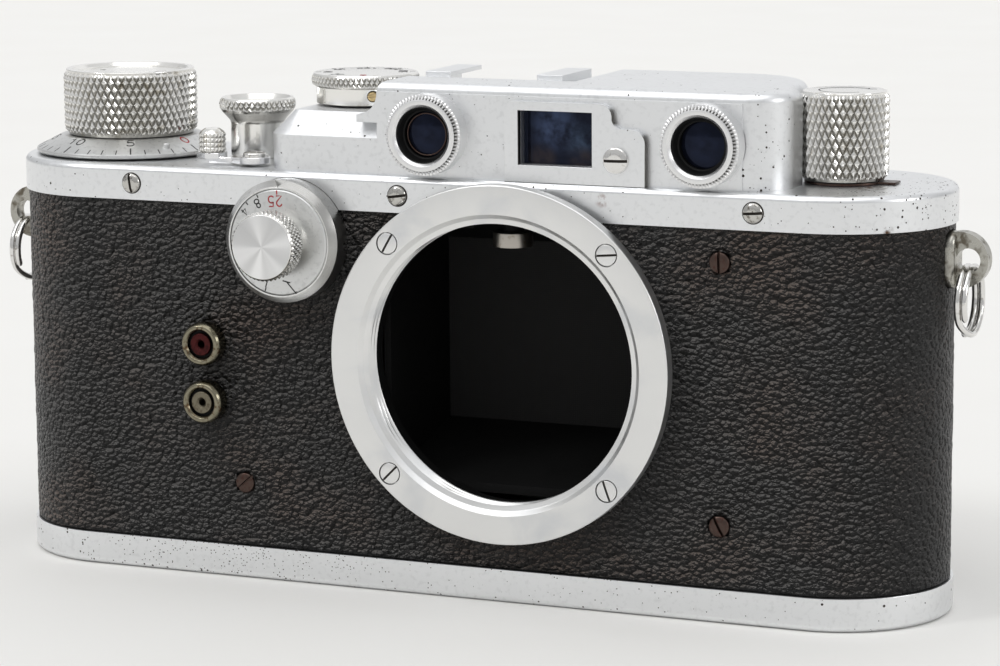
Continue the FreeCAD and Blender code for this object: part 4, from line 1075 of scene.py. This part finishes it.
def make_wind_knob(material):
    wall = knurl(9.5, 60.1, 68.5, 55, KNURL_PITCH, 0.46, 0.2)
    corners = [
        (0, 66.7), (2.1, 66.7), (2.1, 59.7), (8.8, 59.7, 0.1), (9.02, 60.1), (9.02, 68.5),
        (9.1, 68.9, 0.12), (8.3, 68.9, 0.12), (7.9, 68.4, 0.2), (0, 68.4),
    ]
    pins = [(*peg_mesh(0.45, 67.8, 69), upright(side * 4.4)) for side in (-1, 1)]
    turned("wind_knob_turned", "wind_knob", material, upright(WIND_X), corners, band=wall, cuts=pins)


def counter_height(radius):
    """Height of the frame counter's face, flat near the knob and sloping outside it."""
    return min(59.6, 57.85 + (13.4 - radius) * 0.5)


def make_counter(material, black, red):
    node = "frame_counter_dial"
    place = upright(WIND_X)
    corners = [
        (2.35, 57.25), (13.2, 57.25, 0.08), (13.45, 57.5, 0.08), (13.4, 57.85, 0.12), (9.9, 59.6, 0.3),
        (2.35, 59.6),
    ]
    turned("counter_dial_turned", node, material, place, corners, loop=True)
    angle = math.radians(-37)
    stud_place = upright(WIND_X + 11.8 * math.cos(angle), 11.8 * math.sin(angle))
    turned("counter_stud", node, material, stud_place, [(0, 58), (0.5, 58), (0.5, 59.15, 0.3), (0, 59.3)])
    fine = []
    bold = []
    for step in range(COUNTER_STEPS):
        degrees = -17 - step * 360 / COUNTER_STEPS
        if step % 5:
            fine.append(tick(12.3, 13.25, degrees))
            continue
        bold.append(tick(11.85, 13.25, degrees))
        figure = text_lines(str(step), 1.25, 10.65, degrees, 1.45)
        if step:
            bold += figure
        else:
            zero = figure
    body = body_of(node)
    marks("counter_marks", body, black, place, fine, 0.15, counter_height)
    marks("counter_figures", body, black, place, bold, 0.21, counter_height)
    marks("counter_zero", body, red, place, zero, 0.2, counter_height)


def make_release(smooth, knurled):
    place = upright(RELEASE_X)
    wall = knurl(5.4, 63.75, 65.15, 40, 1.4, 0.28, 0.22)
    collar = [
        (2.28, 57), (3.8, 57, 0.05), (3.8, 62.1, 0.9), (5.0, 63.4, 0.2), (5.18, 63.75), (5.18, 65.15),
        (5.0, 65.4, 0.1), (4.7, 65.4, 0.12), (4.2, 64.6, 0.4), (2.6, 63.9, 0.3), (2.28, 63.7),
    ]
    turned("release_collar_turned", "release_collar", knurled, place, collar, loop=True, band=wall)
    button = [
        (0, 9), (1.14, 9), (1.14, 58.2), (2.22, 58.2), (2.22, 64.5, 0.35), (1.2, 64.35, 0.4), (0, 64.3),
    ]
    turned("release_button_turned", "release_button", smooth, place, button)


def make_release_spring(material):
    """Coil under the release button; it does not shorten as the button goes down."""
    turns = 5
    steps = 26 * turns
    coil_r = 1.7
    low, high = 55.0, 57.85
    path = []
    for step in range(steps + 1):
        angle = 2 * math.pi * turns * step / steps
        path.append((coil_r * math.cos(angle), coil_r * math.sin(angle), low + (high - low) * step / steps))
    coil = make_object("release_spring_coil", *tube_mesh(path, 0.15, 10), upright(RELEASE_X))
    standing_for("release_spring", coil, material)
    travel = next(joint["range_m"][1] for joint in frame["joints"] if joint["name"] == "release_press")
    keep = 1 - travel / ((high - low) * MM)
    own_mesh(coil)


def plate_mesh(corners, low, high):
    """Flat plate with rounded corners in plan and eased edges."""
    ease = 0.1
    outline = rounded(corners, True)
    middle = sum(outline, Vector((0, 0))) / len(outline)
    rings = []
    for inset, z in ((ease, low), (0, low + ease), (0, high - ease), (ease, high)):
        shrink = [point + (middle - point).normalized() * inset for point in outline]
        rings.append([(point.x, point.y, z) for point in shrink])
    count = len(outline)
    vertices = [vertex for ring in rings for vertex in ring]
    faces = [tuple(range(count)), tuple(range(3 * count, 4 * count))]
    for ring in range(3):
        for index in range(count):
            after = (index + 1) % count
            start = ring * count
            faces.append((start + index, start + after, start + count + after, start + count + index))
    return vertices, faces


def make_lever(smooth, knurled):
    node = "rewind_clutch_lever"
    x, y = LEVER_PIVOT
    low = 57.3
    knob_x = LEVER_KNOB_X
    pad_corners = [
        (knob_x - 2.3, y - 0.6, 0.4), (knob_x - 0.2, y - 1.8, 0.5), (knob_x + 1.7, y - 1.5, 0.4),
        (knob_x + 1.7, y + 1.4, 0.4), (knob_x - 1.8, y + 1.4, 0.4),
    ]
    pad = plate_mesh(pad_corners, low + 0.45, low + 1.35)
    strip = plate_mesh([(knob_x, y - 1.45, 0.2), (x - 3, y - 1.2, 2), (x, y - 1.9, 0.2), (x, y + 1.9, 0.2),
                        (x - 3, y + 1.0, 2), (knob_x, y + 1.1, 0.2)], low, low + 0.8)
    hub = plate_mesh(arc(LEVER_PIVOT, (2.15, 2.15), 0, 350, 10), low, low + 0.95)
    arm = merged([(*part, upright(0)) for part in (pad, strip, hub)])
    standing_for(node, make_object("lever_arm", *arm), smooth)
    wall = knurl(1.9, 58.75, 61.35, 20, 0.62, 0.16, 0.2, square=True)
    knob = [
        (0, 58.3), (1.5, 58.3), (1.7, 58.75), (1.7, 61.35), (1.62, 61.5, 0.1), (1.0, 61.95, 0.8), (0, 62.0),
    ]
    turned("lever_knob", node, knurled, upright(knob_x, y), knob, band=wall)


# ---------------------------------------------------------------- speed dials

def make_speed_dial(knurled, black, red, dark):
    place = upright(DRUM_X)
    wall = knurl(7.5, 67.75, 69.15, 62, 1.4, 0.26, 0.2)
    corners = [
        (0, 68.3), (3.46, 68.3), (3.46, 66.1), (4.5, 66.1), (4.5, 65.25), (6.85, 65.25, 0.12),
        (6.85, 67.55, 0.1), (7.3, 67.75), (7.3, 69.15), (7.15, SPEED_FACE, 0.08), (0, SPEED_FACE),
    ]
    screw_line = upright(0, 0, 66.6) @ spin(SPEED_SCREW_DEGREES) @ spin(90, "Y")
    hole = [(*peg_mesh(0.8, 4.8, 8), screw_line)]
    turned("speed_dial_turned", "speed_dial", knurled, place, corners, band=wall, cuts=hole)
    screw_place = place @ screw_line @ upright(0, 0, 6.2) @ spin(90)
    head = screw_head(0.76, 0.85, 0.2, 0.3, 0.25)
    screws("speed_dial_screw_head", "speed_dial_screw", dark, head, [screw_place])
    lines = []
    for index, text in enumerate(("30", "40", "60", "100", "200", "500")):
        degrees = -112 - 45 * index
        lines += text_lines(text, 1.15, 5.2, degrees)
        lines.append(tick(6.1, 6.9, degrees))
    bulb = text_lines("B", 1.25, 5.2, -68) + [tick(6.1, 6.9, -68)]
    for name, paint_used, strokes in (("speed_marks", black, lines), ("speed_mark_red", red, bulb)):
        marks(name, body_of("speed_dial"), paint_used, place, strokes, 0.16, flat_face(SPEED_FACE))


def make_slow_dial(bevel, face, knurled, black, red):
    place = facing(*SLOW)
    ring = [
        (2.0, 14.6), (7.75, 14.6), (7.75, 15.25), (8.35, 15.25), (8.35, 18.35, 0.12), (7.47, 19.3, 0.1),
        (7.24, 19.3, 0.05), (7.24, 15.4), (2.0, 15.4),
    ]
    notch = [(*box_mesh((-0.62, 0.62), (-0.62, 0.62), (18.3, 20)), upright(0, 8.35) @ spin(45))]
    turned("slow_ring_turned", "slow_dial_ring", bevel, place, ring, loop=True, cuts=notch)
    disc = [
        (1.53, 15.7), (7.2, 15.7), (7.2, SLOW_FACE - 0.2, 0.08), (7.0, SLOW_FACE, 0.12), (1.53, SLOW_FACE),
    ]
    turned("slow_dial_turned", "slow_speed_dial", face, place, disc, loop=True)
    wall = knurl(4.75, 21.2, 24.15, 44, 1.1, 0.22, 0.18)
    knob = [
        (0, 9.6), (1.5, 9.6), (1.5, 19.43), (3.7, 19.43), (3.7, 20.8, 0.1), (4.45, 21.2), (4.45, 24.15),
        (4.35, 24.38, 0.1), (0, 24.3),
    ]
    turned("slow_knob_turned", "slow_speed_knob", knurled, place, knob, band=wall)
    cap = [(0, 24.1), (4.3, 24.1), (4.3, 24.4, 0.06), (0, 24.34)]
    turned("slow_knob_face", "slow_speed_knob", spun_chrome(), place, cap)
    lines = [tick(6.6, 7.05, 115.8), tick(6.6, 7.05, 132), tick(6.5, 7.0, 253)]
    for text, size, radius, degrees in (("8", 1.2, 5.95, 120), ("4", 1.1, 6.3, 141), ("1", 1.1, 5.95, 252)):
        lines += text_lines(text, size, radius, degrees)
    long_stroke = [Vector((1.18, -5.27)), Vector((2.63, -6.83))]
    bar = [Vector((0.6, -5.16)), Vector((1.75, -5.4))]
    lines += [long_stroke, bar]
    first = text_lines("25", 1.4, 5.6, 93.4) + [tick(6.5, 7.05, 90.5)]
    paints = (("slow_marks", black, lines, 0.17), ("slow_mark_red", red, first, 0.19))
    for name, paint_used, strokes, width in paints:
        marks(name, body_of("slow_speed_dial"), paint_used, place, strokes, width, flat_face(SLOW_FACE))


# ---------------------------------------------------------------- front fittings

def make_lens_mount(material, side, black):
    place = facing(*LENS)
    ring = [
        (18.9, 15.4), (20.2, 15.4), (20.2, 16.8), (24.1, 16.8, 0.08), (24.1, 18.8, 0.2), (20.2, 18.8, 0.08),
        (19.6, 18.2, 0.15), (18.9, 18.0),
    ]
    recess = peg_mesh(1.55, MOUNT_FLOOR, 20)
    turned("lens_ring_turned", "lens_mount_ring", material, place, ring, loop=True,
           band=thread(18.9, 15.4, 18.0, 0.977, 0.55),
           cuts=[(*recess, upright(x, y)) for x, y, _ in mount_screw_places()])
    sleeve = [(19.3, 12.6), (20.2, 12.6), (20.2, 15.38), (19.3, 15.38)]
    turned("lens_throat_sleeve", "lens_mount_ring", black, place, sleeve, loop=True)
    collar = [(20.23, 14.6), (22.3, 14.6), (22.3, 16.8), (20.23, 16.8)]
    turned("lens_collar_turned", "lens_mount_collar", side, place, collar, loop=True)


def make_sync_sockets(ring_material, contact_materials, black):
    ring = [
        (1.95, 14.6), (2.6, 14.6), (2.6, 15.2), (3.0, 15.2, 0.05), (3.0, 16.9, 0.5), (2.6, 17.5, 0.35),
        (2.2, 17.45, 0.15), (1.95, 17.1, 0.1),
    ]
    contact = [(0.5, 12.7), (1.55, 12.7), (1.55, 17.15, 0.15), (0.75, 17.2, 0.1), (0.5, 16.9)]
    sleeve = [(1.58, 14.6), (1.92, 14.6), (1.92, 16.6), (1.58, 16.6)]
    floor = [(0, 13.2), (0.55, 13.2), (0.55, 13.6), (0, 13.6)]
    for index, (z, contact_material) in enumerate(zip(SYNC_HEIGHTS, contact_materials)):
        place = facing(SYNC_X, z)
        turned(f"sync_ring_{index}", "sync_rings", ring_material, place, ring, loop=True)
        turned(f"sync_contact_{index}", "sync_contacts", contact_material, place, contact, loop=True)
        turned(f"sync_sleeve_{index}", "sync_contacts", black, place, sleeve, loop=True)
        turned(f"sync_floor_{index}", "sync_contacts", black, place, floor)


def make_range_windows(bezel, glass, black, retainer):
    edge = serration(5.42, 4.8, 16.1, 16.8, 66, 0.5)
    ring = [
        (3.77, 13.8), (5.42, 13.8), (5.42, 16.1), (4.8, 16.8), (4.65, 16.85, 0.05), (4.15, 16.85, 0.1),
        (3.77, 16.45, 0.05),
    ]
    recess = [(3.1, 13.82), (3.74, 13.82), (3.74, 16.2), (3.6, 16.2, 0.1), (3.3, 15.2, 0.1), (3.1, 15.1)]
    lens = [(0, 13.9), (3.08, 13.9), (3.08, 14.45, 0.05), (0, 14.7, 9.0)]
    places = [facing(x, WINDOW_Z) for x in RANGE_WINDOWS_X]
    for index, place in enumerate(places):
        turned(f"range_bezel_{index}", "rangefinder_bezels", bezel, place, ring, loop=True, band=edge)
        turned(f"range_recess_{index}", "finder_glasses", black, place, recess, loop=True)
        turned(f"range_glass_{index}", "finder_glasses", glass, place, lens)
    clip = [(2.7, 14.5), (2.9, 14.5), (2.9, 14.85, 0.08), (2.7, 14.85, 0.08)]
    turned("range_glass_clip", "finder_glasses", retainer, places[0], clip, loop=True)


def make_eyepieces(bezel, glass):
    ring = [
        (2.6, 13.8), (4.0, 13.8), (4.0, 15.1, 0.25), (3.5, 15.2, 0.15), (3.0, 15.2, 0.15), (2.6, 14.8, 0.05),
    ]
    lens = [(0, 12.9), (2.57, 12.9), (2.57, 14.0, 0.05), (0, 14.3)]
    for index, x in enumerate(EYEPIECES_X):
        place = backing(x, EYEPIECE_Z)
        turned(f"eyepiece_bezel_{index}", "eyepiece_bezels", bezel, place, ring, loop=True)
        turned(f"eyepiece_glass_{index}", "finder_glasses", glass, place, lens)


def make_view_glass(glass):
    left, low = (edge - 0.6 for edge in VIEW_LOW)
    right, high = (edge + 0.6 for edge in VIEW_HIGH)
    corners = [(x, z, 0.3) for x, z in ((left, low), (right, low), (right, high), (left, high))]
    pane = make_object("view_glass", *plate_mesh(corners, 11.5, 12.55), facing(0, 0))
    standing_for("finder_glasses", pane, glass)


# ---------------------------------------------------------------- rewind end, strap rings, base

def make_rewind_knob(material, black):
    place = upright(REWIND_X)
    wall = knurl(5.92, 57.8, 68.75, 36, KNURL_PITCH, 0.42, 0.2)
    corners = [
        (2.06, 67.6), (2.06, 57.5), (5.3, 57.5, 0.08), (5.48, 57.8), (5.48, 68.75), (5.5, REWIND_FACE, 0.12),
        (0, REWIND_FACE), (0, 67.6),
    ]
    turned("rewind_knob_turned", "rewind_knob", material, place, corners, loop=True, band=wall)
    line = [Vector(point) for point in arc((0, 0), (3.4, 3.4), 40, 320, 14)]
    end = line[0]
    lines = [line, [end + Vector((1.0, 0.2)), end, end + Vector((-0.3, 1.0))]]
    marks("rewind_arrow", body_of("rewind_knob"), black, place, lines, 0.2, flat_face(REWIND_FACE))


def make_strap_rings(material):
    """Split rings: two turns of wire side by side, with one short crossing."""
    mean_r = 4.4
    wire_r = 0.44
    crossing = 0.42
    steps = 150
    centre_z = 47.6 - 0.95 - mean_r
    for x, node in ((-RING_X, "strap_ring_left"), (RING_X, "strap_ring_right")):
        path = []
        for step in range(steps + 1):
            turn = crossing + (4 * math.pi - 2 * crossing) * step / steps
            share = min(1, max(0, (turn - (2 * math.pi - crossing)) / (2 * crossing)))
            offset = wire_r * (2 * (3 * share ** 2 - 2 * share ** 3) - 1)
            angle = turn - 2.2
            path.append((x + offset, mean_r * math.cos(angle), centre_z + mean_r * math.sin(angle)))
        standing_for(node, make_object(node + "-wire", *tube_mesh(path, wire_r)), material)


def make_base_fittings(plain, brass):
    wall = thread(2.55, 0.3, 6.2, 1.27, 0.45)
    bush = [
        (2.55, 0.3), (2.95, 0.05), (7.0, 0.05), (7.0, 1.05), (8.6, 1.05), (8.6, 2.0), (5.2, 2.0), (5.2, 6.2),
        (2.55, 6.2),
    ]
    turned("tripod_bush_turned", "tripod_bush", brass, upright(TRIPOD_X), bush, loop=True, band=wall)
    refined("base_lock_key", plain, 0.12)
    refined("lock_key_handle", plain, 0.12)


def make_range_roller(material):
    x, y, z = ROLLER
    corners = [(0.83, z - 1.05), (2.7, z - 1.05, 0.15), (2.7, z + 1.0, 0.15), (0.83, z + 1.0)]
    turned("range_roller_turned", "rangefinder_roller", material, upright(x, y), corners, loop=True)


# ---------------------------------------------------------------- plates and inner works

def make_plates(plain):
    refined("top_plate", top_plate_chrome(), 0.12)
    refined("base_plate", base_plate_chrome(), 0.12)
    refined("finder_housing", housing_chrome(), 0.18)
    refined("viewfinder_cover", cover_chrome(), 0.32)
    refined("accessory_shoe", plain, 0.15)
    refined("diopter_lever", rusty_steel(), 0.06)
    refined("strap_lugs", lug_nickel(), 0.15)


INNER_LOOKS = {
    "black_paint": ("body_shell", "top_bridge", "light_box", "take_up_spool", "rangefinder_arm"),
    "curtain_cloth": ("shutter_curtain",),
    "cast_alloy": ("shutter_crate", "curtain_drum", "pressure_plate"),
    "aged_brass": ("slow_speed_escapement", "idler_gear", "sprocket_gear", "drum_gear"),
    "working_steel": (
        "first_spring_roller", "second_spring_roller", "film_sprocket", "wind_shaft", "speed_dial_sleeve",
        "rewind_shaft",
    ),
    "inner_glass": ("rangefinder_prism", "rangefinder_mirror"),
}


def paint_inner_works(steel):
    looks = {"black_paint": black_paint(), "curtain_cloth": curtain_cloth(), "cast_alloy": cast_alloy(),
             "aged_brass": aged_brass(), "working_steel": steel,
             "inner_glass": coated_glass("inner_glass", (0.8, 0.85, 1.0), (0.02, 0.025, 0.04))}
    for look, nodes in INNER_LOOKS.items():
        for node in nodes:
            paint(frame["nodes"][node].data, looks[look])


# ---------------------------------------------------------------- camera, floor and light

def make_camera():
    """Long lens a little above the camera, from its right-hand front."""
    target = Vector((3.89, 0, 33.96)) * MM
    distance = 473.5 * MM
    azimuth = math.radians(22.97)
    elevation = math.radians(9.68)
    roll = math.radians(-0.38)
    turn = (Matrix.Rotation(azimuth, 4, "Z") @ Matrix.Rotation(math.pi / 2 - elevation, 4, "X")
            @ Matrix.Rotation(roll, 4, "Z"))
    data = bpy.data.cameras.new("camera")
    data.lens = 123.84
    data.sensor_width = 36
    data.clip_start = 0.01
    camera = linked("camera", data)
    camera.matrix_world = Matrix.Translation(target) @ turn @ Matrix.Translation((0, 0, distance))
    bpy.context.scene.camera = camera


def make_floor():
    half = 3000
    vertices = [(-half, -half, 0), (half, -half, 0), (half, half, 0), (-half, half, 0)]
    floor = make_object("floor", vertices, [(0, 1, 2, 3)])
    floor.data.materials.append(floor_paper())


def wide_sun(name, azimuth, elevation, strength, spread):
    """Soft distant light. Azimuth is in degrees from the front towards +X, spread its width in degrees."""
    data = bpy.data.lights.new(name, "SUN")
    data.energy = strength
    data.angle = math.radians(spread)
    light = linked(name, data)
    side, rise = math.radians(azimuth), math.radians(elevation)
    towards = Vector((math.sin(side) * math.cos(rise), -math.cos(side) * math.cos(rise), math.sin(rise)))
    light.rotation_euler = towards.to_track_quat("Z", "Y").to_euler()


def make_room(horizon, zenith):
    """Plain room, brighter towards its ceiling."""
    world = bpy.data.worlds.new("room")
    bpy.context.scene.world = world
    world.use_nodes = True
    tree = world.node_tree
    place = tree.nodes.new("ShaderNodeTexCoord")
    split = tree.nodes.new("ShaderNodeSeparateXYZ")
    strength = tree.nodes.new("ShaderNodeMapRange")
    strength.inputs["To Min"].default_value = horizon
    strength.inputs["To Max"].default_value = zenith
    background = tree.nodes["Background"]
    background.inputs["Color"].default_value = (0.985, 0.99, 1.0, 1)
    tree.links.new(place.outputs["Generated"], split.inputs[0])
    tree.links.new(split.outputs[2], strength.inputs["Value"])
    tree.links.new(strength.outputs[0], background.inputs["Strength"])


def make_lights():
    wide_sun("ceiling", 0, 72, 0.75, 60)
    wide_sun("far_wall", 190, 18, 0.3, 70)
    wide_sun("left_window", -42, 42, 0.5, 13)
    wide_sun("right_window", 85, 20, 0.5, 20)
    make_room(0.5, 0.8)
    bpy.context.scene.view_settings.view_transform = "Standard"


# ---------------------------------------------------------------- the whole camera

def build():
    plain = satin_chrome()
    knurled = knurl_chrome()
    smooth = turned_chrome()
    dial = dial_chrome()
    black = mark_paint("black_marks", (0.012, 0.012, 0.012))
    red = mark_paint("red_marks", (0.32, 0.012, 0.015))
    glass = coated_glass("finder_glass", (0.5, 0.6, 1.0), (0.0035, 0.004, 0.007), GLASS_REFLECTIONS_AND_HAZE)
    dull_black = black_paint()
    steel = working_steel()
    paint_inner_works(steel)
    make_plates(plain)
    make_covering(hard_rubber())
    make_screws()
    make_wind_knob(knurled)
    make_counter(dial, black, red)
    make_release(smooth, knurled)
    make_release_spring(steel)
    make_lever(smooth, knurled)
    make_speed_dial(knurled, black, red, aged_brass())
    make_slow_dial(rim_chrome(), dial, knurled, black, red)
    make_lens_mount(ring_alloy(), smooth, dull_black)
    make_sync_sockets(socket_brass(), (brown_contact(), grey_contact()), dull_black)
    bezel = bezel_chrome()
    make_range_windows(bezel, glass, dull_black, rusty_steel())
    make_eyepieces(bezel, glass)
    make_view_glass(glass)
    make_rewind_knob(knurled, black)
    make_strap_rings(polished_steel())
    make_base_fittings(plain, aged_brass())
    make_range_roller(roller_nickel())


build()
make_camera()
make_floor()
make_lights()
